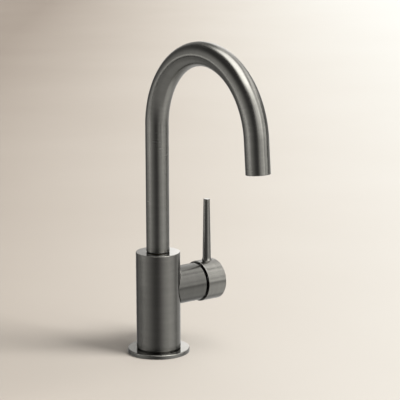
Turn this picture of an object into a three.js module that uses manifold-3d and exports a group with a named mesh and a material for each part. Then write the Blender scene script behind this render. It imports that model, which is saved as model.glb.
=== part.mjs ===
// Gooseneck bar faucet: a slim single-handle tap with a swivelling arched spout.
// Millimetres, +Z up. The origin is on the deck, at the centre of the base. The spout reaches
// along -Y, toward the user, and the valve boss with its handle points along +X.
// What lies below z = 0 goes through the deck's hole and clamps the tap from underneath.
import * as THREE from 'three';
import { mergeVertices } from 'three/addons/utils/BufferGeometryUtils.js';
import Module from 'manifold-3d';

const wasm = await Module();
wasm.setup();

// ---------------------------------------------------------------- clearances
const SEAT_GAP = 0.3; // between two pieces that rest on each other
const FIT_GAP = 0.3; // round a piece that sits in a bore
const SEAL_GAP = 0.15; // round a rubber ring in its groove
const CUT_MARGIN = 2; // how far a cutting tool runs past the face that it opens

// ---------------------------------------------------------------- base and deck
const FLANGE_RADIUS = 29.5;
const FLANGE_THICKNESS = 3.7;
const FLANGE_RIM = 2; // flange metal outside the gasket's groove
const FLANGE_EDGE = 0.8; // rounding of the upper rim
const GASKET_THICKNESS = 1.5;
const GASKET_WIDTH = 7;
const DECK_THICKNESS = 20; // the worktop that the nut is drawn up against

// ---------------------------------------------------------------- body
const BODY_RADIUS = 21;
const BODY_WALL = 3.5;
const BODY_HEIGHT = 93.2;
const BODY_EDGE = 0.5;
const FOOT_GROOVE_HEIGHT = 0.7; // shadow line above the flange
const FOOT_GROOVE_DEPTH = 1.2;
const TOP_PLATE = 10.5; // solid top of the body, which carries the spout

// ---------------------------------------------------------------- fixing below the deck
const SHANK_RADIUS = 16;
const SHANK_BORE_RADIUS = 12.5;
const SHANK_LENGTH = 55;
const SHANK_ENGAGEMENT = 18; // length screwed up into the body
const WASHER_RADIUS = 27;
const RUBBER_THICKNESS = 3;
const STEEL_THICKNESS = 2;
const NUT_BASE_RADIUS = 25.5;
const NUT_BASE_HEIGHT = 6;
const NUT_HEX_RADIUS = 20.5; // across corners, halved
const NUT_HEIGHT = 14;
const JACK_CIRCLE_RADIUS = 21.4;
const JACK_RADIUS = 2;
const JACK_HEAD_RADIUS = 3;
const JACK_HEAD_HEIGHT = 3;
const JACK_KEY_RADIUS = 1.4;
const JACK_KEY_DEPTH = 2;
const JACK_COUNT = 2;

// ---------------------------------------------------------------- spout
const OVERALL_HEIGHT = 302;
const TUBE_RADIUS = 11;
const TUBE_WALL = 1.2;
const ARCH_RADIUS = 73.2;
const ARCH_SWEEP = THREE.MathUtils.degToRad(175.25);
const TAIL_LENGTH = 30; // straight stretch after the arch
const RISER_GAP = 1.5; // shadow gap between the body's top and the tube
const HUB_RADIUS = 9.2;
const HUB_BORE_RADIUS = 6;
const HUB_DEPTH = 20.5; // below the body's top
const HUB_IN_TUBE = 16;
const BUSH_WALL = 0.9;
const BUSH_DEPTH = 2.7;
const LOWER_BUSH_HEIGHT = 2;
const RING_SECTION_RADIUS = 0.75; // rubber ring, thickness halved
const RING_GROOVE_HEIGHT = 2.1;
const RING_RISES = [1.5, 4.6]; // foot of each groove above the hub's lower end
const STOP_SCREW_DROP = 6; // below the body's top
const STOP_SCREW_RADIUS = 2;
const STOP_GROOVE_DEPTH = 1.8;
const STOP_GROOVE_HEIGHT = 5.2;
const STOP_SCREW_SUNK = 0.8; // below the body's outer face

// ---------------------------------------------------------------- aerator
const AERATOR_RECESS = 0.8;
const AERATOR_LENGTH = 8;
const AERATOR_WALL = 1.2;
const AERATOR_FACE = 2.4;
const AERATOR_SKIRT = 1;
const AERATOR_HOLE_RADIUS = 0.75;
const AERATOR_HOLE_RINGS = [
  { radius: 0, count: 1 },
  { radius: 2.6, count: 6 },
  { radius: 5.2, count: 12 },
];
const AERATOR_WASHER_THICKNESS = 1.5;
const AERATOR_WASHER_BORE = 6.5;

// ---------------------------------------------------------------- valve boss and cartridge
const VALVE_HEIGHT = 61.4;
const BOSS_RADIUS = 18;
const BOSS_REACH = 23.3; // from the body's side to the boss's front face
const BOSS_EDGE = 0.5;
const BOSS_BORE_RADIUS = 12.8;
const BOSS_COUNTERBORE_RADIUS = 15;
const SPIGOT_WALL = 1.9; // boss metal round its bore, where it enters the body
const SPIGOT_DEPTH = 8; // from the body's side inward
const PIVOT_SETBACK = 11.3; // handle pivot, behind the boss's front face
const STEM_ARM = 8; // from the pivot to the ball that drives the disc
const STEM_BALL_RADIUS = 2;
const STEM_NECK_RADIUS = 1.5;
const STEM_TAPER = 1.65; // length of the cone between neck and stem
const STEM_RADIUS = 3.3;
const PIN_RADIUS = 1.5;
const HOUSING_WALL = 1.5;
const HOUSING_FRONT = 7; // ahead of the pivot
const HOUSING_LIP = 1.7;
const HOUSING_LIP_RADIUS = 9.4;
const COLLAR_BACK = 7; // behind the pivot
const COLLAR_THICKNESS = 3;
const CARRIER_THICKNESS = 4;
const CARRIER_RADIUS = 7.2;
const DISC_THICKNESS = 3;
const BASE_THICKNESS = 4.5;
const BASE_RIM = 2.2;
const SEAL_THICKNESS = 1;
const SEAL_WIDTH = 1.6;
const ROTOR_SLOT_HEIGHT = 8; // half the slot that the stem tilts in
const MIX_POCKET_RADIUS = 5.4;
const MIX_POCKET_DEPTH = 1.5;
const INLET_SPREAD = 6.5; // each inlet beside the middle
const INLET_DROP = 3; // inlets below the valve's axis
const OUTLET_RISE = 6; // outlet above the valve's axis
const PORT_RADIUS = 2.5;
const RISE_CHANNEL_RADIUS = 3.5;
const HOSE_PORT_RADIUS = 4.2;
const HOSE_PORT_DEPTH = 12;
const DOME_RADIUS = 15.8;
const DOME_WALL = 1.3;
const DOME_HOLE_ANGLE = THREE.MathUtils.degToRad(42);

// ---------------------------------------------------------------- handle
const CAP_GAP = 2; // open ring between boss and cap
const CAP_RADIUS = 19.5;
const CAP_LENGTH = 20.9;
const CAP_WALL = 1.8;
const CAP_CAVITY_DEPTH = 6;
const CAP_EDGE = 1.2;
const STEM_BORE_END = 7.2; // cap metal past the stem's bore
const LEVER_OFFSET = 11.6; // lever's axis, from the cap's open rim
const LEVER_LENGTH = 60.1; // above the cap
const LEVER_BASE_RADIUS = 4;
const LEVER_TIP_RADIUS = 3.05;
const LEVER_FOOT_RADIUS = 4.9;
const LEVER_FOOT_HEIGHT = 3;
const LEVER_EVEN_LENGTH = 3; // above the foot, before the taper
const LEVER_EDGE = 0.35;
const STUD_RADIUS = 2.5;
const SET_SCREW_RADIUS = 2.3;
const SET_SCREW_SUNK = 1;
const SET_KEY_RADIUS = 1.3;
const SET_KEY_DEPTH = 2.5;

// ---------------------------------------------------------------- facets
const WIDE_FACETS = 40; // round the body, base and boss
const FACETS = 20; // round smaller turned pieces
const FINE_FACETS = 12; // round pins, screws and ports
const HEX_FACETS = 6;
const EDGE_FACETS = 2; // across a rounded edge
const SECTION_FACETS = 6; // round a rubber ring's section
const DOME_FACETS = 4;
const TUBE_FACETS = 24;
const TUBE_STEPS = 36;
const MERGE_DISTANCE = 1e-4;

// ---------------------------------------------------------------- places worked out from the sizes
const flangeTop = SEAT_GAP + FLANGE_THICKNESS;
const bodyFoot = flangeTop + SEAT_GAP;
const bodyTop = bodyFoot + BODY_HEIGHT;
const bodyBore = BODY_RADIUS - BODY_WALL;
const plateFoot = bodyTop - TOP_PLATE;
const shankTop = bodyFoot + SHANK_ENGAGEMENT;
const coreRadius = bodyBore - FIT_GAP;
const coreFoot = shankTop + SEAT_GAP;
const coreTop = plateFoot - SEAT_GAP;
const riserFoot = bodyTop + RISER_GAP;
const hubFoot = bodyTop - HUB_DEPTH;
const hubTop = riserFoot + HUB_IN_TUBE;
const hubHole = HUB_RADIUS + FIT_GAP;
const bushRadius = hubHole + BUSH_WALL;
const archCentreHeight = OVERALL_HEIGHT - TUBE_RADIUS - ARCH_RADIUS;
const tubeBore = TUBE_RADIUS - TUBE_WALL;
const ringRadius = hubHole - SEAL_GAP - RING_SECTION_RADIUS;
const ringGrooveRadius = ringRadius - RING_SECTION_RADIUS - SEAL_GAP;
const stopScrewHeight = bodyTop - STOP_SCREW_DROP;
const stopGrooveRadius = HUB_RADIUS - STOP_GROOVE_DEPTH;

const bossFront = BODY_RADIUS + BOSS_REACH;
const spigotRadius = BOSS_BORE_RADIUS + SPIGOT_WALL;
const spigotBack = BODY_RADIUS - SPIGOT_DEPTH;
const pivot = bossFront - PIVOT_SETBACK;
const housingRadius = BOSS_BORE_RADIUS - FIT_GAP;
const housingBore = housingRadius - HOUSING_WALL;
const housingFront = pivot + HOUSING_FRONT;
const collarBack = pivot - COLLAR_BACK;
const collarFront = collarBack + COLLAR_THICKNESS;
const nutRadius = BOSS_COUNTERBORE_RADIUS - FIT_GAP;
const rotorFront = housingFront - HOUSING_LIP - SEAT_GAP;
const rotorRadius = housingBore - FIT_GAP;
const ballPlace = pivot - STEM_ARM;
const carrierFront = ballPlace + CARRIER_THICKNESS / 2;
const carrierBack = carrierFront - CARRIER_THICKNESS;
const movingDiscFront = carrierBack - SEAT_GAP;
const movingDiscBack = movingDiscFront - DISC_THICKNESS;
const fixedDiscFront = movingDiscBack - SEAT_GAP;
const fixedDiscBack = fixedDiscFront - DISC_THICKNESS;
const baseFront = fixedDiscBack - SEAT_GAP;
const baseBack = baseFront - BASE_THICKNESS;
const sealBack = baseBack - SEAT_GAP - SEAL_THICKNESS;
const valveSeat = sealBack - SEAT_GAP;
const capBack = bossFront + CAP_GAP;
const capFront = capBack + CAP_LENGTH;
const leverPlace = capBack + LEVER_OFFSET;
const stemBore = STEM_RADIUS + FIT_GAP;
const stemBoreEnd = capFront - STEM_BORE_END;

const ports = [
  { y: -INLET_SPREAD, z: -INLET_DROP },
  { y: INLET_SPREAD, z: -INLET_DROP },
  { y: 0, z: OUTLET_RISE },
];

// ---------------------------------------------------------------- solids from three's geometries
// Shared corners are merged, faces with no area dropped, and the winding turned outward.
function toSolid(geometry) {
  const bare = geometry.clone();
  bare.deleteAttribute('normal');
  bare.deleteAttribute('uv');
  const merged = mergeVertices(bare, MERGE_DISTANCE);
  const positions = merged.attributes.position.array;
  const corners = merged.index.array;
  const kept = [];
  let volume = 0;
  const [a, b, c] = [new THREE.Vector3(), new THREE.Vector3(), new THREE.Vector3()];
  for (let i = 0; i < corners.length; i += 3) {
    const [p, q, r] = corners.slice(i, i + 3);
    if (p !== q && q !== r && r !== p) {
      kept.push(p, q, r);
      a.fromArray(positions, 3 * p);
      b.fromArray(positions, 3 * q);
      c.fromArray(positions, 3 * r);
      volume += a.dot(b.cross(c));
    }
  }
  const triVerts = new Uint32Array(volume < 0 ? kept.reverse() : kept);
  const vertProperties = new Float32Array(positions);
  return new wasm.Manifold(new wasm.Mesh({ numProp: 3, vertProperties, triVerts }));
}

function toGeometry(solid) {
  const mesh = solid.getMesh();
  const geometry = new THREE.BufferGeometry();
  geometry.setAttribute('position', new THREE.BufferAttribute(mesh.vertProperties, 3));
  geometry.setIndex(new THREE.BufferAttribute(mesh.triVerts, 1));
  geometry.computeVertexNormals();
  return geometry;
}

// A turned piece about Z. The profile is [radius, height] pairs and is closed on itself,
// unless it begins and ends on the axis.
function turned(profile, facets = FACETS) {
  const points = profile.map(([radius, height]) => new THREE.Vector2(radius, height));
  const onAxis = points[0].x === 0 && points[points.length - 1].x === 0;
  if (!onAxis) points.push(points[0].clone());
  return new THREE.LatheGeometry(points, facets).rotateX(Math.PI / 2);
}

// A straight round bar about Z.
function bar(radius, low, high, facets = FINE_FACETS) {
  return turned([[0, low], [radius, low], [radius, high], [0, high]], facets);
}

// A plain ring about Z.
function ring(inner, outer, low, high, facets = FACETS) {
  return turned([[inner, low], [outer, low], [outer, high], [inner, high]], facets);
}

// The same piece lying along X, with its heights counted outward along +X.
const alongX = (geometry) => geometry.rotateY(Math.PI / 2);

// The same piece lying along Y, with its heights counted along +Y.
const alongY = (geometry) => geometry.rotateX(-Math.PI / 2);

// Points of a quarter round over a piece's upper outer edge, as [radius, height] pairs that
// run from the side to the top face.
function upperEdge(radius, height, size) {
  return Array.from({ length: EDGE_FACETS + 1 }, (_, i) => {
    const angle = ((Math.PI / 2) * i) / EDGE_FACETS;
    return [radius - size * (1 - Math.cos(angle)), height - size * (1 - Math.sin(angle))];
  });
}

// A rubber ring: a small circle carried round the axis.
function rubberRing(radius, height) {
  const section = Array.from({ length: SECTION_FACETS }, (_, i) => {
    const angle = (2 * Math.PI * i) / SECTION_FACETS;
    return [
      radius + RING_SECTION_RADIUS * Math.cos(angle),
      height + RING_SECTION_RADIUS * Math.sin(angle),
    ];
  });
  return turned(section);
}

// ---------------------------------------------------------------- finishes
function finish(color, roughness, metalness) {
  return () => new THREE.MeshStandardMaterial({ color, roughness, metalness });
}

const graphiteSteel = finish(0x6b6864, 0.38, 1);
const rawBrass = finish(0xb0914f, 0.35, 1);
const zincSteel = finish(0x9a9c9e, 0.4, 1);
const blackRubber = finish(0x1c1c1c, 0.85, 0);
const blackPlastic = finish(0x232323, 0.5, 0);
const paleAcetal = finish(0xd9d6cc, 0.45, 0);
const ceramic = finish(0xe8e6df, 0.2, 0);

function piece(name, solid, material) {
  const mesh = new THREE.Mesh(toGeometry(solid), material());
  mesh.name = name;
  return mesh;
}

// ---------------------------------------------------------------- base and body
function deckGasket() {
  const outer = FLANGE_RADIUS - FLANGE_RIM - FIT_GAP;
  const shape = ring(outer - GASKET_WIDTH, outer, 0, GASKET_THICKNESS, WIDE_FACETS);
  return piece('deck_gasket', toSolid(shape), blackRubber);
}

function baseFlange() {
  const hole = SHANK_RADIUS + FIT_GAP;
  const grooveOuter = FLANGE_RADIUS - FLANGE_RIM;
  const grooveInner = grooveOuter - GASKET_WIDTH - 2 * FIT_GAP;
  const grooveTop = GASKET_THICKNESS + SEAT_GAP;
  const profile = [
    [hole, SEAT_GAP],
    [grooveInner, SEAT_GAP],
    [grooveInner, grooveTop],
    [grooveOuter, grooveTop],
    [grooveOuter, SEAT_GAP],
    [FLANGE_RADIUS, SEAT_GAP],
    ...upperEdge(FLANGE_RADIUS, flangeTop, FLANGE_EDGE),
    [hole, flangeTop],
  ];
  return piece('base_flange', toSolid(turned(profile, WIDE_FACETS)), graphiteSteel);
}

// The body: a tube closed by a thick top plate, with a stepped bore for the spout's hub,
// a round window for the valve boss and a small hole at the back for the stop screw. Its foot
// is turned back a little, which leaves a dark line above the flange.
function bodyShell() {
  const sleeveFoot = bodyTop - BUSH_DEPTH - SEAT_GAP;
  const sleeveHole = bushRadius + FIT_GAP;
  const grooveRadius = BODY_RADIUS - FOOT_GROOVE_DEPTH;
  const grooveTop = bodyFoot + FOOT_GROOVE_HEIGHT;
  const profile = [
    [bodyBore, bodyFoot],
    [grooveRadius, bodyFoot],
    [grooveRadius, grooveTop],
    [BODY_RADIUS, grooveTop],
    ...upperEdge(BODY_RADIUS, bodyTop, BODY_EDGE),
    [sleeveHole, bodyTop],
    [sleeveHole, sleeveFoot],
    [hubHole, sleeveFoot],
    [hubHole, plateFoot],
    [bodyBore, plateFoot],
  ];
  const windowCut = alongX(bar(spigotRadius + FIT_GAP, 0, BODY_RADIUS + CUT_MARGIN, FACETS));
  windowCut.translate(0, 0, VALVE_HEIGHT);
  const screwCut = alongY(bar(STOP_SCREW_RADIUS + FIT_GAP, 0, BODY_RADIUS + CUT_MARGIN));
  screwCut.translate(0, 0, stopScrewHeight);
  const solid = toSolid(turned(profile, WIDE_FACETS))
    .subtract(toSolid(windowCut))
    .subtract(toSolid(screwCut));
  return piece('body_shell', solid, graphiteSteel);
}

// The core that carries the water: two inlets come up from the hose ports, turn toward the
// cartridge's seat, and the mixed water leaves by a channel that rises into the spout's hub.
function waterwayCore() {
  const bushHole = bushRadius + FIT_GAP;
  const bushSeat = coreTop - LOWER_BUSH_HEIGHT - SEAT_GAP;
  const hubSeat = hubFoot - SEAT_GAP;
  const profile = [
    [0, coreFoot],
    [coreRadius, coreFoot],
    [coreRadius, coreTop],
    [bushHole, coreTop],
    [bushHole, bushSeat],
    [hubHole, bushSeat],
    [hubHole, hubSeat],
    [0, hubSeat],
  ];
  const reach = coreRadius + CUT_MARGIN;
  const cuts = [
    alongX(bar(housingRadius + FIT_GAP, valveSeat, reach, FACETS)).translate(0, 0, VALVE_HEIGHT),
    alongX(bar(spigotRadius + FIT_GAP, spigotBack - SEAT_GAP, reach, FACETS))
      .translate(0, 0, VALVE_HEIGHT),
  ];
  for (const { y, z } of ports) {
    const height = VALVE_HEIGHT + z;
    const isInlet = z < 0;
    cuts.push(alongX(bar(PORT_RADIUS, -PORT_RADIUS, reach)).translate(0, y, height));
    const [low, high] = isInlet
      ? [coreFoot - CUT_MARGIN, height]
      : [height, hubSeat + CUT_MARGIN];
    cuts.push(bar(isInlet ? PORT_RADIUS : RISE_CHANNEL_RADIUS, low, high).translate(0, y, 0));
    if (isInlet) {
      const port = bar(HOSE_PORT_RADIUS, coreFoot - CUT_MARGIN, coreFoot + HOSE_PORT_DEPTH);
      cuts.push(port.translate(0, y, 0));
    }
  }
  const solid = cuts.reduce((left, cut) => left.subtract(toSolid(cut)),
    toSolid(turned(profile, WIDE_FACETS)));
  return piece('waterway_core', solid, rawBrass);
}

// ---------------------------------------------------------------- fixing below the deck
// The hollow shank: its collar screws up into the body, and the flange is caught between
// the body and the deck.
function threadedShank() {
  const collar = bodyBore - FIT_GAP;
  const profile = [
    [SHANK_BORE_RADIUS, -SHANK_LENGTH],
    [SHANK_RADIUS, -SHANK_LENGTH],
    [SHANK_RADIUS, bodyFoot],
    [collar, bodyFoot],
    [collar, shankTop],
    [SHANK_BORE_RADIUS, shankTop],
  ];
  return piece('threaded_shank', toSolid(turned(profile)), rawBrass);
}

const washerHole = SHANK_RADIUS + FIT_GAP;
const steelTop = -DECK_THICKNESS - RUBBER_THICKNESS - SEAT_GAP;
const nutTop = steelTop - STEEL_THICKNESS - SEAT_GAP;
const nutBaseFoot = nutTop - NUT_BASE_HEIGHT;
const nutFoot = nutTop - NUT_HEIGHT;

function rubberWasher() {
  const low = -DECK_THICKNESS - RUBBER_THICKNESS;
  const shape = ring(washerHole, WASHER_RADIUS, low, -DECK_THICKNESS);
  return piece('rubber_washer', toSolid(shape), blackRubber);
}

function clampWasher() {
  const shape = ring(washerHole, WASHER_RADIUS, steelTop - STEEL_THICKNESS, steelTop);
  return piece('clamp_washer', toSolid(shape), zincSteel);
}

// Where the jack screws stand, evenly round the nut's base.
const jackPlaces = Array.from({ length: JACK_COUNT }, (_, i) => {
  const angle = (2 * Math.PI * i) / JACK_COUNT;
  return [JACK_CIRCLE_RADIUS * Math.cos(angle), JACK_CIRCLE_RADIUS * Math.sin(angle)];
});

// A round base for the jack screws, with a hexagon below it for the spanner. The hexagon has
// a flat facing each screw.
function mountingNut() {
  const base = ring(washerHole, NUT_BASE_RADIUS, nutBaseFoot, nutTop);
  const hexagon = bar(NUT_HEX_RADIUS, nutFoot, nutTop, HEX_FACETS);
  const hole = bar(washerHole, nutFoot - CUT_MARGIN, nutTop + CUT_MARGIN, FACETS);
  const blank = toSolid(base).add(toSolid(hexagon)).subtract(toSolid(hole));
  const solid = jackPlaces.reduce((left, [x, y]) => {
    const screwHole = bar(JACK_RADIUS + FIT_GAP, nutBaseFoot - CUT_MARGIN, nutTop + CUT_MARGIN);
    return left.subtract(toSolid(screwHole.translate(x, y, 0)));
  }, blank);
  return piece('mounting_nut', solid, rawBrass);
}

function jackScrews() {
  const headTop = nutBaseFoot - SEAT_GAP;
  const headFoot = headTop - JACK_HEAD_HEIGHT;
  return jackPlaces.map(([x, y], i) => {
    const shape = turned([
      [0, headFoot],
      [JACK_HEAD_RADIUS, headFoot],
      [JACK_HEAD_RADIUS, headTop],
      [JACK_RADIUS, headTop],
      [JACK_RADIUS, nutTop],
      [0, nutTop],
    ], FINE_FACETS);
    const keyTop = headFoot + JACK_KEY_DEPTH;
    const key = bar(JACK_KEY_RADIUS, headFoot - CUT_MARGIN, keyTop, HEX_FACETS);
    const screw = piece(`jack_screw_${i + 1}`, toSolid(shape).subtract(toSolid(key)), zincSteel);
    screw.position.set(x, y, 0);
    return screw;
  });
}

// ---------------------------------------------------------------- spout
// The tube's centre line: straight up, round the arch toward -Y, then straight down the tail.
class Gooseneck extends THREE.Curve {
  getPoint(t, target = new THREE.Vector3()) {
    const riser = archCentreHeight - riserFoot;
    const arch = ARCH_RADIUS * ARCH_SWEEP;
    const travelled = t * (riser + arch + TAIL_LENGTH);
    if (travelled <= riser) return target.set(0, 0, riserFoot + travelled);
    const angle = Math.min((travelled - riser) / ARCH_RADIUS, ARCH_SWEEP);
    const past = Math.max(travelled - riser - arch, 0);
    return target.set(
      0,
      -ARCH_RADIUS * (1 - Math.cos(angle)) - past * Math.sin(angle),
      archCentreHeight + ARCH_RADIUS * Math.sin(angle) + past * Math.cos(angle),
    );
  }
}

function spoutTube() {
  const section = new THREE.Shape().absarc(0, 0, TUBE_RADIUS, 0, 2 * Math.PI);
  section.holes.push(new THREE.Path().absarc(0, 0, tubeBore, 0, 2 * Math.PI, true));
  const shape = new THREE.ExtrudeGeometry(section, {
    steps: TUBE_STEPS,
    curveSegments: TUBE_FACETS / 2,
    extrudePath: new Gooseneck(),
  });
  return piece('spout_tube', toSolid(shape), graphiteSteel);
}

// The hub turns in the body. Its two lower grooves hold rubber rings, and the wide groove
// above them takes the tip of the stop screw, so that the spout turns but can't lift out.
function spoutHub() {
  const ringGrooves = RING_RISES.flatMap((rise) => {
    const foot = hubFoot + rise;
    const top = foot + RING_GROOVE_HEIGHT;
    return [
      [HUB_RADIUS, foot],
      [ringGrooveRadius, foot],
      [ringGrooveRadius, top],
      [HUB_RADIUS, top],
    ];
  });
  const stopFoot = stopScrewHeight - STOP_GROOVE_HEIGHT / 2;
  const stopTop = stopScrewHeight + STOP_GROOVE_HEIGHT / 2;
  const inTube = tubeBore - FIT_GAP;
  const profile = [
    [HUB_BORE_RADIUS, hubFoot],
    [HUB_RADIUS, hubFoot],
    ...ringGrooves,
    [HUB_RADIUS, stopFoot],
    [stopGrooveRadius, stopFoot],
    [stopGrooveRadius, stopTop],
    [HUB_RADIUS, stopTop],
    [HUB_RADIUS, riserFoot],
    [inTube, riserFoot],
    [inTube, hubTop],
    [HUB_BORE_RADIUS, hubTop],
  ];
  return piece('spout_hub', toSolid(turned(profile)), rawBrass);
}

function spoutRings() {
  const names = ['spout_oring_lower', 'spout_oring_upper'];
  return RING_RISES.map((rise, i) => {
    const height = hubFoot + rise + RING_GROOVE_HEIGHT / 2;
    return piece(names[i], toSolid(rubberRing(ringRadius, height)), blackRubber);
  });
}

// The upper bush stands proud of the body and shows as the dark ring under the tube.
function spoutBushes() {
  const upper = ring(hubHole, bushRadius, bodyTop - BUSH_DEPTH, riserFoot - SEAT_GAP);
  const lower = ring(hubHole, bushRadius, coreTop - LOWER_BUSH_HEIGHT, coreTop);
  return [
    piece('spout_bush_upper', toSolid(upper), blackPlastic),
    piece('spout_bush_lower', toSolid(lower), blackPlastic),
  ];
}

function stopScrew() {
  const shape = bar(STOP_SCREW_RADIUS, stopGrooveRadius + FIT_GAP, BODY_RADIUS - STOP_SCREW_SUNK);
  const keyFoot = BODY_RADIUS - STOP_SCREW_SUNK - SET_KEY_DEPTH;
  const key = bar(SET_KEY_RADIUS, keyFoot, BODY_RADIUS + CUT_MARGIN, HEX_FACETS);
  const screw = piece('spout_stop_screw', toSolid(alongY(shape)).subtract(toSolid(alongY(key))),
    zincSteel);
  screw.position.z = stopScrewHeight;
  return screw;
}

// ---------------------------------------------------------------- aerator
// Built about its own axis, with +Z out of the spout's mouth and z = 0 at the tube's end face.
const aeratorRadius = tubeBore - FIT_GAP;
const aeratorBack = -AERATOR_RECESS - AERATOR_LENGTH;

function aeratorHousing() {
  const shape = ring(aeratorRadius - AERATOR_WALL, aeratorRadius, aeratorBack, -AERATOR_RECESS);
  return piece('aerator_housing', toSolid(shape), rawBrass);
}

function aeratorInsert() {
  const outer = aeratorRadius - AERATOR_WALL - FIT_GAP;
  const face = -AERATOR_RECESS;
  const inner = outer - AERATOR_SKIRT;
  const cup = turned([
    [0, face],
    [outer, face],
    [outer, aeratorBack],
    [inner, aeratorBack],
    [inner, face - AERATOR_FACE],
    [0, face - AERATOR_FACE],
  ]);
  const holeBack = face - AERATOR_FACE - CUT_MARGIN;
  let solid = toSolid(cup);
  for (const { radius, count } of AERATOR_HOLE_RINGS) {
    for (let i = 0; i < count; i += 1) {
      const angle = (2 * Math.PI * i) / count;
      const hole = bar(AERATOR_HOLE_RADIUS, holeBack, face + CUT_MARGIN, HEX_FACETS);
      hole.translate(radius * Math.cos(angle), radius * Math.sin(angle), 0);
      solid = solid.subtract(toSolid(hole));
    }
  }
  return piece('aerator_insert', solid, blackPlastic);
}

function aeratorWasher() {
  const top = aeratorBack - SEAT_GAP;
  const shape = ring(AERATOR_WASHER_BORE, aeratorRadius, top - AERATOR_WASHER_THICKNESS, top);
  return piece('aerator_washer', toSolid(shape), blackRubber);
}

function aerator() {
  const group = new THREE.Group();
  group.add(aeratorHousing(), aeratorInsert(), aeratorWasher());
  group.position.copy(new Gooseneck().getPoint(1));
  group.rotation.x = ARCH_SWEEP;
  return group;
}

// ---------------------------------------------------------------- valve
// Everything from here on lies along X, about the valve's axis at y = 0, z = 0.
const uprightBody = (radius) => {
  const top = bodyTop - VALVE_HEIGHT + CUT_MARGIN;
  return bar(radius, -VALVE_HEIGHT - CUT_MARGIN, top, WIDE_FACETS);
};

// The boss is cut to the body's round side and enters the body's window with a spigot.
function valveBoss() {
  const barrel = alongX(turned([
    [0, 0],
    [BOSS_RADIUS, 0],
    ...upperEdge(BOSS_RADIUS, bossFront, BOSS_EDGE),
    [0, bossFront],
  ], WIDE_FACETS));
  const spigot = alongX(bar(spigotRadius, spigotBack, pivot, FACETS));
  const bore = alongX(bar(BOSS_BORE_RADIUS, 0, bossFront, FACETS));
  const counterbore = alongX(
    bar(BOSS_COUNTERBORE_RADIUS, collarBack - SEAT_GAP, bossFront + CUT_MARGIN, FACETS),
  );
  const solid = toSolid(barrel)
    .subtract(toSolid(uprightBody(BODY_RADIUS + SEAT_GAP)))
    .add(toSolid(spigot))
    .subtract(toSolid(bore))
    .subtract(toSolid(counterbore));
  return piece('valve_boss', solid, graphiteSteel);
}

// Cuts the three water ports through a piece between two places along the axis.
function withPorts(solid, back, front) {
  return ports.reduce((left, { y, z }) => {
    const port = alongX(bar(PORT_RADIUS, back - CUT_MARGIN, front + CUT_MARGIN));
    return left.subtract(toSolid(port.translate(0, y, z)));
  }, solid);
}

function cartridgeSeal() {
  const shape = ring(housingRadius - SEAL_WIDTH, housingRadius, sealBack, sealBack + SEAL_THICKNESS);
  return piece('cartridge_seal', toSolid(alongX(shape)), blackRubber);
}

function cartridgeBase() {
  const shape = alongX(turned([
    [0, baseBack],
    [housingRadius, baseBack],
    [housingRadius, baseBack + BASE_RIM],
    [rotorRadius, baseBack + BASE_RIM],
    [rotorRadius, baseFront],
    [0, baseFront],
  ]));
  return piece('cartridge_base', withPorts(toSolid(shape), baseBack, baseFront), paleAcetal);
}

// The housing traps the turret behind its front lip, and its collar is what the nut presses.
function cartridgeHousing() {
  const back = baseBack + BASE_RIM + SEAT_GAP;
  const profile = [
    [housingBore, back],
    [housingRadius, back],
    [housingRadius, collarBack],
    [nutRadius, collarBack],
    [nutRadius, collarFront],
    [housingRadius, collarFront],
    [housingRadius, housingFront],
    [HOUSING_LIP_RADIUS, housingFront],
    [HOUSING_LIP_RADIUS, housingFront - HOUSING_LIP],
    [housingBore, housingFront - HOUSING_LIP],
  ];
  return piece('cartridge_housing', toSolid(alongX(turned(profile))), paleAcetal);
}

function fixedDisc() {
  const shape = alongX(bar(rotorRadius, fixedDiscBack, fixedDiscFront, FACETS));
  const solid = withPorts(toSolid(shape), fixedDiscBack, fixedDiscFront);
  return piece('fixed_ceramic_disc', solid, ceramic);
}

// The hollow in this disc's back joins the inlets to the outlet as it slides.
function movingDisc() {
  const shape = alongX(bar(CARRIER_RADIUS, movingDiscBack, movingDiscFront, FACETS));
  const pocketFloor = movingDiscBack + MIX_POCKET_DEPTH;
  const pocket = alongX(bar(MIX_POCKET_RADIUS, movingDiscBack - CUT_MARGIN, pocketFloor));
  return piece('moving_ceramic_disc', toSolid(shape).subtract(toSolid(pocket)), ceramic);
}

function discCarrier() {
  const shape = alongX(bar(CARRIER_RADIUS, carrierBack, carrierFront, FACETS));
  const socketFloor = ballPlace - STEM_BALL_RADIUS + SEAT_GAP;
  const socketRadius = STEM_BALL_RADIUS + 2 * FIT_GAP;
  const socket = alongX(bar(socketRadius, socketFloor, carrierFront + CUT_MARGIN));
  return piece('disc_carrier', toSolid(shape).subtract(toSolid(socket)), blackPlastic);
}

// A straight slot between two places along the axis, with half its width and half its height.
function slot(back, front, halfWidth, halfHeight) {
  const box = new THREE.BoxGeometry(front - back, 2 * halfWidth, 2 * halfHeight);
  return box.translate((back + front) / 2, 0, 0);
}

// The turret turns in the housing and carries the pin that the stem tilts on. Two ears at its
// back turn the disc carrier with it and let it slide.
function cartridgeRotor() {
  const channel = CARRIER_RADIUS + FIT_GAP;
  const shoulder = carrierFront + SEAT_GAP;
  const shape = alongX(bar(rotorRadius, carrierBack, rotorFront, FACETS));
  const back = carrierBack - CUT_MARGIN;
  const across = rotorRadius + CUT_MARGIN;
  const channelCut = slot(back, shoulder, channel, across);
  const slotCut = slot(back, rotorFront + CUT_MARGIN, stemBore, ROTOR_SLOT_HEIGHT);
  const pinHole = alongY(bar(PIN_RADIUS + FIT_GAP, -across, across));
  const solid = toSolid(shape)
    .subtract(toSolid(channelCut))
    .subtract(toSolid(slotCut))
    .subtract(toSolid(pinHole.translate(pivot, 0, 0)));
  return piece('cartridge_rotor', solid, blackPlastic);
}

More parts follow.
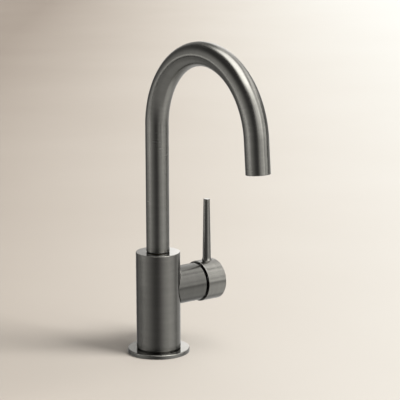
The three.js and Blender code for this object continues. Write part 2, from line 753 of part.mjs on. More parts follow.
// The pin's ends lie flush with the turret's round side.
function tiltPin() {
  const reach = Math.sqrt(rotorRadius ** 2 - PIN_RADIUS ** 2);
  const pin = piece('tilt_pin', toSolid(alongY(bar(PIN_RADIUS, -reach, reach))), zincSteel);
  pin.position.x = pivot;
  return pin;
}

function bonnetNut() {
  const shape = ring(BOSS_BORE_RADIUS, nutRadius, collarFront + SEAT_GAP, housingFront);
  return piece('bonnet_nut', toSolid(alongX(shape)), rawBrass);
}

// A band of a sphere about the pivot, which keeps the gap behind the cap closed as it tilts.
function bonnetDome() {
  const foot = HOUSING_FRONT + SEAT_GAP;
  const arc = (radius) => {
    const footAngle = Math.acos(foot / radius);
    return Array.from({ length: DOME_FACETS + 1 }, (_, i) => {
      const angle = footAngle + ((DOME_HOLE_ANGLE - footAngle) * i) / DOME_FACETS;
      return [radius * Math.sin(angle), pivot + radius * Math.cos(angle)];
    });
  };
  const profile = [...arc(DOME_RADIUS), ...arc(DOME_RADIUS - DOME_WALL).reverse()];
  return piece('bonnet_dome', toSolid(alongX(turned(profile))), blackPlastic);
}

// ---------------------------------------------------------------- handle
function cartridgeStem() {
  const ballBack = ballPlace - STEM_BALL_RADIUS + 2 * SEAT_GAP;
  const ballStart = Math.asin((ballPlace - ballBack) / STEM_BALL_RADIUS);
  const neckAngle = Math.acos(STEM_NECK_RADIUS / STEM_BALL_RADIUS);
  const ball = Array.from({ length: DOME_FACETS + 1 }, (_, i) => {
    const angle = -ballStart + ((neckAngle + ballStart) * i) / DOME_FACETS;
    return [STEM_BALL_RADIUS * Math.cos(angle), ballPlace + STEM_BALL_RADIUS * Math.sin(angle)];
  });
  const neckFront = pivot - PIN_RADIUS - STEM_TAPER;
  const shape = alongX(turned([
    [0, ballBack],
    ...ball,
    [STEM_NECK_RADIUS, neckFront],
    [STEM_RADIUS, neckFront + STEM_TAPER],
    [STEM_RADIUS, stemBoreEnd - SEAT_GAP],
    [0, stemBoreEnd - SEAT_GAP],
  ], FINE_FACETS));
  const across = STEM_RADIUS + CUT_MARGIN;
  const pinHole = alongY(bar(PIN_RADIUS + FIT_GAP, -across, across));
  const solid = toSolid(shape).subtract(toSolid(pinHole.translate(pivot, 0, 0)));
  return piece('cartridge_stem', solid, zincSteel);
}

// The cap: hollow where it swings round the dome, solid where it grips the stem.
function handleCap() {
  const cavityEnd = capBack + CAP_CAVITY_DEPTH;
  const cavityRadius = CAP_RADIUS - CAP_WALL;
  const profile = [
    [0, stemBoreEnd],
    [stemBore, stemBoreEnd],
    [stemBore, cavityEnd],
    [cavityRadius, cavityEnd],
    [cavityRadius, capBack],
    [CAP_RADIUS, capBack],
    ...upperEdge(CAP_RADIUS, capFront, CAP_EDGE),
    [0, capFront],
  ];
  const studHole = bar(STUD_RADIUS + FIT_GAP, 0, CAP_RADIUS + CUT_MARGIN);
  const screwHole = bar(SET_SCREW_RADIUS + FIT_GAP, -CAP_RADIUS - CUT_MARGIN, 0);
  const solid = toSolid(alongX(turned(profile, WIDE_FACETS)))
    .subtract(toSolid(studHole.translate(leverPlace, 0, 0)))
    .subtract(toSolid(screwHole.translate(leverPlace, 0, 0)));
  return piece('handle_cap', solid, graphiteSteel);
}

// A slim tapered rod. Its foot spreads a little and is cut to the cap's round side, and a
// stud below the foot screws into the cap.
function handleLever() {
  const top = CAP_RADIUS + LEVER_LENGTH;
  const footTop = CAP_RADIUS + LEVER_FOOT_HEIGHT;
  const studFoot = STEM_RADIUS + 2 * FIT_GAP;
  const foot = Array.from({ length: EDGE_FACETS + 1 }, (_, i) => {
    const share = i / EDGE_FACETS;
    const spread = (LEVER_FOOT_RADIUS - LEVER_BASE_RADIUS) * (1 - share) ** 2;
    return [LEVER_BASE_RADIUS + spread, CAP_RADIUS + LEVER_FOOT_HEIGHT * share];
  });
  const rod = turned([
    [0, CAP_RADIUS - CUT_MARGIN],
    [LEVER_FOOT_RADIUS, CAP_RADIUS - CUT_MARGIN],
    ...foot,
    [LEVER_BASE_RADIUS, footTop + LEVER_EVEN_LENGTH],
    [LEVER_TIP_RADIUS, top - LEVER_EDGE],
    [LEVER_TIP_RADIUS - LEVER_EDGE, top],
    [0, top],
  ], FACETS);
  const capTool = alongX(bar(CAP_RADIUS + SEAT_GAP, -capFront, capFront, WIDE_FACETS));
  const solid = toSolid(rod)
    .subtract(toSolid(capTool))
    .add(toSolid(bar(STUD_RADIUS, studFoot, footTop)));
  const lever = piece('handle_lever', solid, graphiteSteel);
  lever.position.x = leverPlace;
  return lever;
}

function handleSetScrew() {
  const head = -CAP_RADIUS + SET_SCREW_SUNK;
  const shape = bar(SET_SCREW_RADIUS, head, -STEM_RADIUS - 2 * FIT_GAP);
  const key = bar(SET_KEY_RADIUS, head - CUT_MARGIN, head + SET_KEY_DEPTH, HEX_FACETS);
  const screw = piece('handle_set_screw', toSolid(shape).subtract(toSolid(key)), zincSteel);
  screw.position.x = leverPlace;
  return screw;
}

// ---------------------------------------------------------------- assembly
const valve = new THREE.Group();
valve.position.z = VALVE_HEIGHT;
valve.add(
  valveBoss(),
  cartridgeSeal(),
  cartridgeBase(),
  cartridgeHousing(),
  fixedDisc(),
  movingDisc(),
  discCarrier(),
  cartridgeRotor(),
  tiltPin(),
  bonnetNut(),
  bonnetDome(),
  cartridgeStem(),
  handleCap(),
  handleLever(),
  handleSetScrew(),
);

const faucet = new THREE.Group();
faucet.add(
  deckGasket(),
  baseFlange(),
  bodyShell(),
  waterwayCore(),
  threadedShank(),
  rubberWasher(),
  clampWasher(),
  mountingNut(),
  ...jackScrews(),
  spoutTube(),
  spoutHub(),
  ...spoutRings(),
  ...spoutBushes(),
  stopScrew(),
  aerator(),
  valve,
);

export default faucet;
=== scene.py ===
"""Gooseneck bar faucet: a slim single-handle tap in finely brushed dark graphite.

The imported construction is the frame. Each sub-assembly below is a class that holds its sizes,
builds smooth turned meshes in the place of the faceted solids and dresses them. All lengths are
in metres, +Z is up, the spout reaches along -Y and the handle points along +X.
"""

import logging
import math
from dataclasses import dataclass, field, replace
from enum import Enum
from typing import Callable, ClassVar, Mapping, Optional, Sequence, Union

import bpy
import numpy as np
from bpy.types import Material, Mesh, Node, NodeOutputs, NodeSocket, NodeTree, Object
from mathutils import Euler, Matrix, Vector


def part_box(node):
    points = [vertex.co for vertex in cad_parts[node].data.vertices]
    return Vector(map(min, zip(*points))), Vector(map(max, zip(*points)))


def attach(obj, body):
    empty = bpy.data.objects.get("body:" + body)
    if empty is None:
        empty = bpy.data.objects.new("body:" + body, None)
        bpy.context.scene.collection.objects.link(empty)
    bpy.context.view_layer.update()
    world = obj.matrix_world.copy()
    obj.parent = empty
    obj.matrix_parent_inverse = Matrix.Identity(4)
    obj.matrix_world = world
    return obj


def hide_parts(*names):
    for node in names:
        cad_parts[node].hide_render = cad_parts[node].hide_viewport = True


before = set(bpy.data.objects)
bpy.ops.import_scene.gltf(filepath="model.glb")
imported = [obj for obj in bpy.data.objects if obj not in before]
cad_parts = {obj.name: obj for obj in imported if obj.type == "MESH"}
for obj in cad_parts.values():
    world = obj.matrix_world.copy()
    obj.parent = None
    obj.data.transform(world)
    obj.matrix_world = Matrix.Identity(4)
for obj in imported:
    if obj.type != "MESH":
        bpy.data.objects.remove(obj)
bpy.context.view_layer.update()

log = logging.getLogger("faucet")

MM = 0.001
Array = np.ndarray
Relief = Callable[[Array, Array, Array], Array]  # radius, height and angle to the new radius
Colour = tuple[float, float, float]


class Body(Enum):
    """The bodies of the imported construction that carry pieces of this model."""

    FIXED = "body"
    SPOUT = "spout"
    HANDLE = "handle"


class Slot(Enum):
    """The record's material slots."""

    GRAPHITE = "graphite_steel"
    BRASS = "raw_brass"
    ZINC = "zinc_steel"
    RUBBER = "black_rubber"
    PLASTIC = "black_plastic"
    ACETAL = "pale_acetal"
    CERAMIC = "ceramic"


# ------------------------------------------------------------------------------ centre lines
@dataclass(frozen=True)
class StraightAxis:
    """A straight centre line that pieces are turned about.

    Its own frame has z along the line; `tilt` is the turn, in radians about X, Y and Z, that
    takes the world's axes to it.
    """

    name: str
    origin: tuple[float, float, float]
    tilt: tuple[float, float, float] = (0.0, 0.0, 0.0)

    def frames(self, distance: Array) -> tuple[Array, Array, Array]:
        """Places along the line, and the two directions across it.

        Args:
            distance: how far along the line, any shape.

        Returns:
            Centres, and first and second cross directions, each with a last axis of 3.
        """
        turn = np.array(Euler(self.tilt).to_matrix())
        centre = np.array(self.origin) + distance[..., None] * turn[:, 2]
        shape = np.ones_like(distance)[..., None]
        return centre, shape * turn[:, 0], shape * turn[:, 1]


@dataclass(frozen=True)
class GooseneckAxis:
    """The spout's centre line: up from the foot, round the arch toward -Y, down the tail."""

    name: str
    foot: float
    arch_height: float
    arch_radius: float
    sweep: float
    tail: float

    @property
    def length(self) -> float:
        """Whole length of the line."""
        return self.arch_height - self.foot + self.arch_radius * self.sweep + self.tail

    def frames(self, distance: Array) -> tuple[Array, Array, Array]:
        """Places along the line, and the two directions across it.

        With t the angle turned so far (0 on the riser, the whole sweep on the tail), the centre
        is R(1 - cos t) toward -Y and R sin t above the arch's centre, plus what is left of the
        straight stretches along (0, -sin t, cos t). The first direction across is always +X.

        Args:
            distance: how far along the line, any shape.

        Returns:
            Centres, and first and second cross directions, each with a last axis of 3.
        """
        riser = self.arch_height - self.foot
        turned_by = np.clip((distance - riser) / self.arch_radius, 0.0, self.sweep)
        before = np.minimum(distance - riser, 0.0)
        after = np.maximum(distance - riser - self.arch_radius * self.sweep, 0.0)
        sine, cosine, none = np.sin(turned_by), np.cos(turned_by), np.zeros_like(distance)
        centre = np.stack(
            [
                none,
                -self.arch_radius * (1.0 - cosine) - after * sine,
                self.arch_height + self.arch_radius * sine + before + after * cosine,
            ],
            axis=-1,
        )
        across = np.stack([none + 1.0, none, none], axis=-1)
        along = np.stack([none, -sine, cosine], axis=-1)
        return centre, across, np.cross(along, across)


Axis = Union[StraightAxis, GooseneckAxis]


# ------------------------------------------------------------------------------ outlines
Corner = tuple[float, ...]  # radius, height, rounding and seat; the last two are 0 if left out
ON_HOST = 1.0  # seat of a corner whose height counts from the round side of the piece's host


@dataclass(frozen=True)
class Outline:
    """Points of a turned outline, in order, with how far along it they lie."""

    radius: Array
    height: Array
    seat: Array
    edge: Array
    closed: bool

    @property
    def run(self) -> Array:
        """Distance travelled along the outline at each point."""
        steps = np.hypot(np.diff(self.radius), np.diff(self.height))
        return np.concatenate([[0.0], np.cumsum(steps)])

    @property
    def facing(self) -> Array:
        """1 where the outline runs across the axis, as on an end face, and 0 along it.

        It is the rise of radius over the legs on both sides of a point, each by its length.

        Returns:
            The share for each point.
        """
        legs = np.stack([np.diff(self.radius), np.diff(self.height)])
        if self.closed:
            before, after = np.roll(legs, 1, axis=1), legs
            pair = np.append(before, before[:, :1], axis=1) + np.append(after, after[:, :1], axis=1)
        else:
            pair = np.append(legs[:, :1], legs, axis=1) + np.append(legs, legs[:, -1:], axis=1)
        return np.abs(pair[0]) / np.maximum(np.hypot(*pair), 1e-9)


HOLD = 0.12 * MM  # a flat keeps its own shading from this far beside a rounded edge
LONGEST_LEG = 20 * MM
ROOM = 0.45  # share of the shorter leg that an arc may take


def rounded(
    corners: Sequence[Corner], closed: bool = True, arc_steps: int = 5, longest: float = LONGEST_LEG
) -> Outline:
    """An outline with its corners rounded by arcs.

    At each corner the arc is tangent to both legs: its centre lies on the bisector at
    rounding / sin(half the angle), and its points turn evenly from one tangent point to the
    other. A holding point stands beside each arc, and legs longer than `longest` are divided.

    Args:
        corners: the corners in order, with the material on the left of the way round.
        closed: False where the outline begins and ends on the centre line.
        arc_steps: number of steps in each arc.
        longest: longest leg that stays in one piece.

    Returns:
        The outline. `edge` is 1 on outward arcs, -1 on inward ones and 0 on flats.
    """
    count = len(corners)
    given = np.array([(*corner, 0.0, 0.0)[:4] for corner in corners])
    places = given[:, :2]
    rows: list[Array] = []
    for i, (here, (rounding, seat)) in enumerate(zip(places, given[:, 2:])):
        if rounding == 0.0 or (not closed and i in (0, count - 1)):
            rows.append(np.array([[*here, seat, 0.0]]))
            continue
        back, ahead = places[i - 1] - here, places[(i + 1) % count] - here
        back_length, ahead_length = np.linalg.norm(back), np.linalg.norm(ahead)
        back, ahead = back / back_length, ahead / ahead_length
        half = math.acos(float(np.clip(back @ ahead, -1.0, 1.0))) / 2
        room = ROOM * min(back_length, ahead_length)
        reach = min(rounding / math.tan(half), room)
        size = reach * math.tan(half)
        bisector = (back + ahead) / np.linalg.norm(back + ahead)
        centre = here + bisector * size / math.sin(half)
        span = math.pi - 2 * half
        share = np.linspace(0.0, 1.0, arc_steps + 1)[:, None]
        first, last = here + back * reach - centre, here + ahead * reach - centre
        swung = np.sin((1 - share) * span) * first + np.sin(share * span) * last
        arc = centre + swung / math.sin(span)
        outward = 1.0 if back[0] * ahead[1] - back[1] * ahead[0] < 0 else -1.0
        hold = min(HOLD, room - reach)
        block, bent = arc, np.full((len(arc), 1), outward)
        if hold > 0.0:
            block = np.vstack([arc[:1] + back * hold, arc, arc[-1:] + ahead * hold])
            bent = np.pad(bent, ((1, 1), (0, 0)))
        rows.append(np.hstack([block, np.full((len(block), 1), seat), bent]))
    table = np.vstack(rows)
    if closed:
        table = np.vstack([table, table[:1]])
    legs = np.hypot(*np.diff(table[:, :2], axis=0).T)
    parts = np.maximum(np.ceil(legs / longest).astype(int), 1)
    starts = np.repeat(np.arange(len(legs)), parts)
    offset = np.arange(parts.sum()) - np.repeat(np.cumsum(parts) - parts, parts)
    share = (offset / np.repeat(parts, parts))[:, None]
    table = np.vstack([table[starts] * (1 - share) + table[starts + 1] * share, table[-1:]])
    return Outline(table[:, 0], table[:, 1], table[:, 2], table[:, 3], closed)


def ring_outline(
    inner: float, outer: float, low: float, high: float, edges: Sequence[float],
    arc_steps: int = 3, longest: float = LONGEST_LEG,
) -> Outline:
    """The outline of a ring of rectangular section.

    Args:
        inner: radius of its hole.
        outer: its outer radius.
        low: height of its lower face.
        high: height of its upper face.
        edges: rounding of the lower inner, lower outer, upper outer and upper inner edge.
        arc_steps: number of steps in each arc.
        longest: longest leg that stays in one piece.

    Returns:
        The outline.
    """
    places = ((inner, low), (outer, low), (outer, high), (inner, high))
    corners = [(*place, edge) for place, edge in zip(places, edges)]
    return rounded(corners, arc_steps=arc_steps, longest=longest)


def plain_outline(radius: Array, height: Array) -> Outline:
    """A closed outline of points that come from a formula, with no edges of its own."""
    flat = np.zeros_like(radius)
    return Outline(radius, height, flat, flat, True)


SKIN = 0.05 * MM  # how near to a wall's radius a point counts as on it


@dataclass(frozen=True)
class Hexagon:
    """A hexagon made of the round wall of radius `corner_radius`."""

    corner_radius: float

    def relief(self, radius: Array, height: Array, angle: Array) -> Array:
        """New radius: on the wall, times cos(30 degrees) / cos(angle from a flat's middle).

        Args:
            radius: radius of each point.
            height: height of each point.
            angle: angle of each point about the axis.

        Returns:
            The radius with the wall's points moved to the hexagon.
        """
        sector = math.pi / 3
        from_flat = np.mod(angle, sector) - sector / 2
        share = math.cos(sector / 2) / np.cos(from_flat)
        return np.where(np.abs(radius - self.corner_radius) < SKIN, radius * share, radius)


@dataclass(frozen=True)
class Thread:
    """A screw thread cut into an outer wall of radius `crest` between two heights."""

    crest: float
    low: float
    high: float
    pitch: float
    depth: float
    sharpness: float = 0.08

    def relief(self, radius: Array, height: Array, angle: Array) -> Array:
        """New radius: the wall less depth times a rounded wave of height / pitch - turns.

        Args:
            radius: radius of each point.
            height: height of each point.
            angle: angle of each point about the axis.

        Returns:
            The radius with the thread cut into the points on the wall.
        """
        phase = 2 * math.pi * height / self.pitch - angle
        wave = 0.5 + 0.5 * np.cos(phase) - self.sharpness * np.cos(2 * phase)
        run_in = np.clip((height - self.low) / self.pitch, 0, 1)
        run_out = np.clip((self.high - height) / self.pitch, 0, 1)
        on_wall = np.abs(radius - self.crest) < self.depth / 2
        return np.where(on_wall, radius - self.depth * wave * run_in * run_out, radius)


def both(first: Relief, second: Relief) -> Relief:
    """One relief after another."""
    return lambda radius, height, angle: second(first(radius, height, angle), height, angle)


# ------------------------------------------------------------------------------ surfaces
@dataclass
class Surface:
    """A closed mesh as arrays: places, faces, their UVs, and what the finish reads."""

    points: Array
    quads: Array
    triangles: Array
    quad_uv: Array
    triangle_uv: Array
    edge: Array
    facing: Array
    grain: Array

    def faces(self) -> list[list[int]]:
        """All faces as lists of point numbers, quads first."""
        return self.quads.tolist() + self.triangles.tolist()

    def uv(self) -> Array:
        """The UVs of all face corners, in the order of `faces`."""
        return np.concatenate([self.quad_uv.reshape(-1, 2), self.triangle_uv.reshape(-1, 2)])


def turned(
    outline: Outline, axis: Axis, turns: int, host_radius: float = 0.0, relief: Optional[Relief] = None
) -> Surface:
    """Carries an outline round a centre line.

    With s the height and r the radius of an outline point and a the angle, the place is
    centre(s) + r (cos a * first + sin a * second). Where the outline is seated, s also has
    sqrt(host^2 - (r sin a)^2), the round side of the host that the piece is cut to.

    Args:
        outline: the outline, with the material on its left.
        axis: the centre line.
        turns: number of steps round it.
        host_radius: radius of the host's side, for a seated outline.
        relief: changes the radius as a function of radius, height and angle.

    Returns:
        The surface, with faces outward and poles closed.
    """
    angle = np.arange(turns) * (2 * math.pi / turns)
    radius, around = np.meshgrid(outline.radius, angle, indexing="ij")
    height = np.repeat(outline.height[:, None], turns, axis=1)
    if relief is not None:
        radius = relief(radius, height, around)
    if host_radius > 0.0:
        side = np.sqrt(np.maximum(host_radius**2 - (radius * np.sin(around)) ** 2, 0.0))
        height = height + outline.seat[:, None] * side
    centre, first, second = axis.frames(height)
    cosine, sine = np.cos(around)[..., None], np.sin(around)[..., None]
    grid = centre + radius[..., None] * (cosine * first + sine * second)
    widest = float(outline.radius.max())
    along = np.repeat(outline.run[:, None], turns, axis=1)
    grain = np.stack([along, widest * np.cos(around), widest * np.sin(around)], axis=-1)
    edge = np.repeat(outline.edge[:, None], turns, axis=1)
    facing = np.repeat(outline.facing[:, None], turns, axis=1)

    rows = len(outline.radius)
    number = np.arange(rows * turns).reshape(rows, turns)
    if outline.closed:
        number[-1] = number[0]
    at_pole = outline.radius <= 0.0
    number[at_pole] = number[at_pole][:, :1]
    right = np.roll(number, -1, axis=1)
    corner = np.stack([number[:-1], right[:-1], right[1:], number[1:]], axis=-1).reshape(-1, 4)

    girth = 2 * math.pi * widest
    u_low, v_low = np.meshgrid(outline.run[:-1], angle / (2 * math.pi) * girth, indexing="ij")
    u_high = np.repeat(outline.run[1:, None], turns, axis=1)
    v_high = v_low + girth / turns
    ends = ((u_low, v_low), (u_low, v_high), (u_high, v_high), (u_high, v_low))
    uv = np.stack([np.stack(end, axis=-1) for end in ends], axis=-2).reshape(-1, 4, 2)
    low_pole = corner[:, 0] == corner[:, 1]
    high_pole = corner[:, 2] == corner[:, 3]
    whole = ~(low_pole | high_pole)
    triangles = np.concatenate([corner[low_pole][:, [0, 2, 3]], corner[high_pole][:, [0, 1, 2]]])
    triangle_uv = np.concatenate([uv[low_pole][:, [0, 2, 3]], uv[high_pole][:, [0, 1, 2]]])

    used, renumbered = np.unique(
        np.concatenate([corner[whole].ravel(), triangles.ravel()]), return_inverse=True
    )
    quad_total = int(whole.sum()) * 4
    return Surface(
        points=grid.reshape(-1, 3)[used],
        quads=renumbered[:quad_total].reshape(-1, 4),
        triangles=renumbered[quad_total:].reshape(-1, 3),
        quad_uv=uv[whole],
        triangle_uv=triangle_uv,
        edge=edge.reshape(-1)[used],
        facing=facing.reshape(-1)[used],
        grain=grain.reshape(-1, 3)[used],
    )


def round_bar(
    axis: StraightAxis, radius: float, low: float, high: float, turns: int
) -> Surface:
    """A plain round bar between two heights, as a drilling tool."""
    corners = [(0.0, low), (radius, low), (radius, high), (0.0, high)]
    return turned(rounded(corners, closed=False), axis, turns)


CREASE = math.radians(38)  # edges that turn by more than this are shaded as sharp


def shade_smooth(mesh: Mesh) -> None:
    """Shades a mesh smooth but for its creases."""
    mesh.polygons.foreach_set("use_smooth", np.ones(len(mesh.polygons), dtype=bool))
    mesh.set_sharp_from_angle(angle=CREASE)


def mesh_object(name: str, surface: Surface) -> Object:
    """Puts a surface into a new object.

    Args:
        name: the object's name.
        surface: the arrays.

    Returns:
        The object, linked to the scene, at the origin.
    """
    mesh = bpy.data.meshes.new(name)
    mesh.from_pydata(surface.points.tolist(), [], surface.faces())
    layer = mesh.uv_layers.new(name="Turned")
    layer.uv.foreach_set("vector", surface.uv().astype(np.float32).ravel())
    for key, values in (("edge", surface.edge), ("facing", surface.facing)):
        layer = mesh.attributes.new(key, "FLOAT", "POINT")
        layer.data.foreach_set("value", values.astype(np.float32))
    grain = mesh.attributes.new("grain", "FLOAT_VECTOR", "POINT")
    grain.data.foreach_set("vector", surface.grain.astype(np.float32).ravel())
    shade_smooth(mesh)
    mesh.update()
    thing = bpy.data.objects.new(name, mesh)
    bpy.context.scene.collection.objects.link(thing)
    return thing


def drilled(thing: Object, holes: Sequence[Surface]) -> None:
    """Cuts holes through a piece and keeps the result as its mesh.

    Args:
        thing: the piece.
        holes: closed surfaces, one for each hole.
    """
    for i, hole in enumerate(holes):
        tool = mesh_object(f"drill_{i}", hole)
        cut = thing.modifiers.new("drill", "BOOLEAN")
        cut.operation, cut.solver, cut.object = "DIFFERENCE", "EXACT", tool
        seen = thing.evaluated_get(bpy.context.evaluated_depsgraph_get())
        made = bpy.data.meshes.new_from_object(seen)
        thing.modifiers.clear()
        old, thing.data = thing.data, made
        bpy.data.meshes.remove(old)
        spent = tool.data
        bpy.data.objects.remove(tool)
        bpy.data.meshes.remove(spent)
    thing.data.name = thing.name
    shade_smooth(thing.data)


# ------------------------------------------------------------------------------ shader groups
Given = Mapping[Union[int, str], object]  # sockets or values, by an input's number or name
NOISE_RANGE = (0.3, 0.7)  # where most of a smooth noise lies


class NodeBench:
    """Adds and joins nodes in one tree."""

    def __init__(self, tree: NodeTree) -> None:
        """Keeps the tree that the nodes go in."""
        self.tree = tree

    def fill(self, node: Node, given: Given) -> None:
        """Feeds a node's inputs: a socket is linked, and a number or a tuple is set.

        Args:
            node: the node.
            given: sockets or values by the input's number or name.
        """
        for key, term in given.items():
            if isinstance(term, NodeSocket):
                self.tree.links.new(term, node.inputs[key])
            else:
                node.inputs[key].default_value = term

    def node(
        self, kind: str, given: Optional[Given] = None, **settings: object
    ) -> NodeOutputs:
        """Adds a node with its properties set and its inputs fed.

        Args:
            kind: the node's type without its ShaderNode prefix.
            given: what its inputs are fed with, as in `fill`.
            **settings: properties by name.

        Returns:
            The node's outputs.
        """
        made = self.tree.nodes.new(f"ShaderNode{kind}")
        for key, value in settings.items():
            setattr(made, key, value)
        self.fill(made, given or {})
        return made.outputs

    def math(self, operation: str, *terms: object, clamp: bool = False) -> NodeSocket:
        """The result of a math node fed with one to three numbers or sockets."""
        return self.node("Math", dict(enumerate(terms)), operation=operation, use_clamp=clamp)[0]

    def times(self, first: object, second: object) -> NodeSocket:
        """The product of two numbers or sockets."""
        return self.math("MULTIPLY", first, second)

    def plus(self, first: object, second: object) -> NodeSocket:
        """The sum of two numbers or sockets."""
        return self.math("ADD", first, second)

    def mixed(self, share: NodeSocket, first: object, second: object) -> NodeSocket:
        """The first colour at share 0 and the second at 1; each is a socket or red, green and blue."""
        ends = [end if isinstance(end, NodeSocket) else (*end, 1.0) for end in (first, second)]
        return self.node("Mix", {0: share, 6: ends[0], 7: ends[1]}, data_type="RGBA")[2]

    def attribute(self, name: str, output: str = "Fac") -> NodeSocket:
        """What a mesh attribute holds, as a number or as another of the node's outputs."""
        return self.node("Attribute", attribute_name=name)[output]

    def noise(self, vector: NodeSocket, scale: object, detail: float) -> NodeSocket:
        """Smooth noise, mostly between 0.3 and 0.7."""
        return self.node("TexNoise", {"Vector": vector, "Scale": scale, "Detail": detail})["Fac"]

    def ranged(
        self, value: NodeSocket, source: tuple[float, float], target: tuple[float, float],
        **settings: object,
    ) -> NodeSocket:
        """A value carried from one range to another, and kept in it.

        Args:
            value: the value.
            source: the range it lies in.
            target: the range it goes to.
            **settings: the map range node's properties.

        Returns:
            The value in its new range.
        """
        names = ("Value", "From Min", "From Max", "To Min", "To Max")
        return self.node("MapRange", dict(zip(names, (value, *source, *target))), **settings)[0]

    def spread(
        self, noise: NodeSocket, low: float = 0.0, high: float = 1.0
    ) -> NodeSocket:
        """Noise stretched from its usual range to low..high."""
        return self.ranged(noise, NOISE_RANGE, (low, high))


VALUE, VECTOR = "NodeSocketFloat", "NodeSocketVector"


def new_group(
    name: str, inputs: Mapping[str, str], outputs: Mapping[str, str]
) -> tuple[NodeBench, NodeOutputs, Node]:
    """A shader node group with named sockets.

    Args:
        name: the group's name.
        inputs: socket types by name.
        outputs: socket types by name.

    Returns:
        A bench on the group, the sockets of what it is given, and its output node.
    """
    tree = bpy.data.node_groups.new(name, "ShaderNodeTree")
    for way, sockets in (("INPUT", inputs), ("OUTPUT", outputs)):
        for socket, kind in sockets.items():
            tree.interface.new_socket(socket, in_out=way, socket_type=kind)
    given, made = tree.nodes.new("NodeGroupInput"), tree.nodes.new("NodeGroupOutput")
    return NodeBench(tree), given.outputs, made


def new_material(name: str) -> tuple[Material, NodeBench, Node]:
    """A new material with nodes.

    Args:
        name: the material's name.

    Returns:
        The material, a bench on its nodes, and its main shader.
    """
    material = bpy.data.materials.new(name)
    material.use_nodes = True
    tree = material.node_tree
    return material, NodeBench(tree), tree.nodes["Principled BSDF"]


PATTERN_RADIUS = 10 * MM
ON_AXIS = 1e-5  # nearer to the axis than this, the direction round it is left at 0


def turned_pattern_group() -> NodeTree:
    """Pattern coordinates of a turned piece, from its own frame with z along the axis.

    They are (z - r, cos a, sin a) with the last two at a radius of 10 mm: the first runs up a
    wall and on inward over a face, so fine noise on it gives rings about the axis.

    Returns:
        The group.
    """
    bench, given, made = new_group("TurnedPattern", {"Vector": VECTOR}, {"Vector": VECTOR})
    x, y, z = bench.node("SeparateXYZ", {0: given["Vector"]})
    radius = bench.math("SQRT", bench.plus(bench.times(x, x), bench.times(y, y)))
    unit = bench.math("DIVIDE", PATTERN_RADIUS, bench.math("MAXIMUM", radius, ON_AXIS))
    parts = (bench.math("SUBTRACT", z, radius), bench.times(x, unit), bench.times(y, unit))
    bench.fill(made, {"Vector": bench.node("CombineXYZ", dict(enumerate(parts)))[0]})
    return bench.tree


@dataclass(frozen=True)
class Streaks:
    """Noise marks: how many to a metre, and how far they are drawn out round the axis."""

    per_metre: float
    narrowing: float
    detail: float

    def on(self, bench: NodeBench, vector: NodeSocket) -> NodeSocket:
        """The marks on pattern coordinates.

        Args:
            bench: where the nodes go.
            vector: the pattern coordinates.

        Returns:
            The noise of the marks.
        """
        given = {0: vector, 1: (1.0, self.narrowing, self.narrowing)}
        drawn = bench.node("VectorMath", given, operation="MULTIPLY")[0]
        return bench.noise(drawn, self.per_metre, self.detail)


HAIRS = Streaks(3600.0, 0.030, 2.0)
SCRATCHES = Streaks(1100.0, 0.020, 2.0)
BANDS = Streaks(420.0, 0.10, 3.0)
HAIR_SHARE = 0.6
LINE_GAIN, LINE_OFFSET = 2.0, -0.5  # noise of 0.25 to 0.75 makes a line of 0 to 1
FACE_GAIN, FACE_OFFSET = 4.0, -3.0  # a face begins where its facing is 0.75, and is whole at 1
CLOUDS_PER_METRE = 55.0
# noise that breaks up the painted edge highlight and the painted corner shade
EDGE_PAINT_PER_METRE = 260.0
LEAST_EDGE_PAINT = 0.45
FINE_DETAIL, BROAD_DETAIL = 3.0, 2.0
MOTTLE_SCALE = 0.12


def brushed_grain_group() -> NodeTree:
    """Fine rings left by an abrasive belt, with broader bands and soft cleaning marks.

    Line is hair-fine, Band is a few millimetres wide and Cloud is a slow change over the
    piece; all three lie between 0 and 1.

    Returns:
        The group.
    """
    outputs = dict.fromkeys(("Line", "Band", "Cloud"), VALUE)
    bench, given, made = new_group("BrushedGrain", {"Vector": VECTOR}, outputs)
    vector = given["Vector"]
    hairs = bench.times(HAIRS.on(bench, vector), HAIR_SHARE)
    line = bench.plus(hairs, bench.times(SCRATCHES.on(bench, vector), 1.0 - HAIR_SHARE))
    bench.fill(made, {
        "Line": bench.math("MULTIPLY_ADD", line, LINE_GAIN, LINE_OFFSET, clamp=True),
        "Band": bench.spread(BANDS.on(bench, vector)),
        "Cloud": bench.spread(bench.noise(vector, CLOUDS_PER_METRE, FINE_DETAIL)),
    })
    return bench.tree


def painted_edge_group() -> NodeTree:
    """Masks for a painted highlight along outward rounded edges and painted shade in inward corners.

    The first output marks outward edges, where the highlight is painted, and the second marks
    inward corners, where the shade is painted; both are broken up by noise on the vector.

    Returns:
        The group.
    """
    bench, given, made = new_group(
        "PaintedEdgeHighlightShade", {"Edge": VALUE, "Vector": VECTOR}, {"PaintedHighlight": VALUE, "PaintedShade": VALUE}
    )
    broken = bench.spread(bench.noise(given["Vector"], EDGE_PAINT_PER_METRE, FINE_DETAIL), LEAST_EDGE_PAINT)
    # painted highlight on outward edges, painted shade in inward corners
    for name, sign in (("PaintedHighlight", 1.0), ("PaintedShade", -1.0)):
        mask = bench.math("MAXIMUM", bench.times(given["Edge"], sign), 0.0)
        bench.fill(made, {name: bench.math("MULTIPLY", mask, broken, clamp=True)})
    return bench.tree


def speckle_group() -> NodeTree:
    """The fine texture of moulded, cast or plated stuff: Grit is fine and Mottle is broad.

    Returns:
        The group.
    """
    bench, given, made = new_group(
        "Speckle", {"Vector": VECTOR, "Scale": VALUE}, {"Grit": VALUE, "Mottle": VALUE}
    )
    vector, scale = given["Vector"], given["Scale"]
    bench.fill(made, {
        "Grit": bench.spread(bench.noise(vector, scale, FINE_DETAIL)),
        "Mottle": bench.spread(bench.noise(vector, bench.times(scale, MOTTLE_SCALE), BROAD_DETAIL)),
    })
    return bench.tree


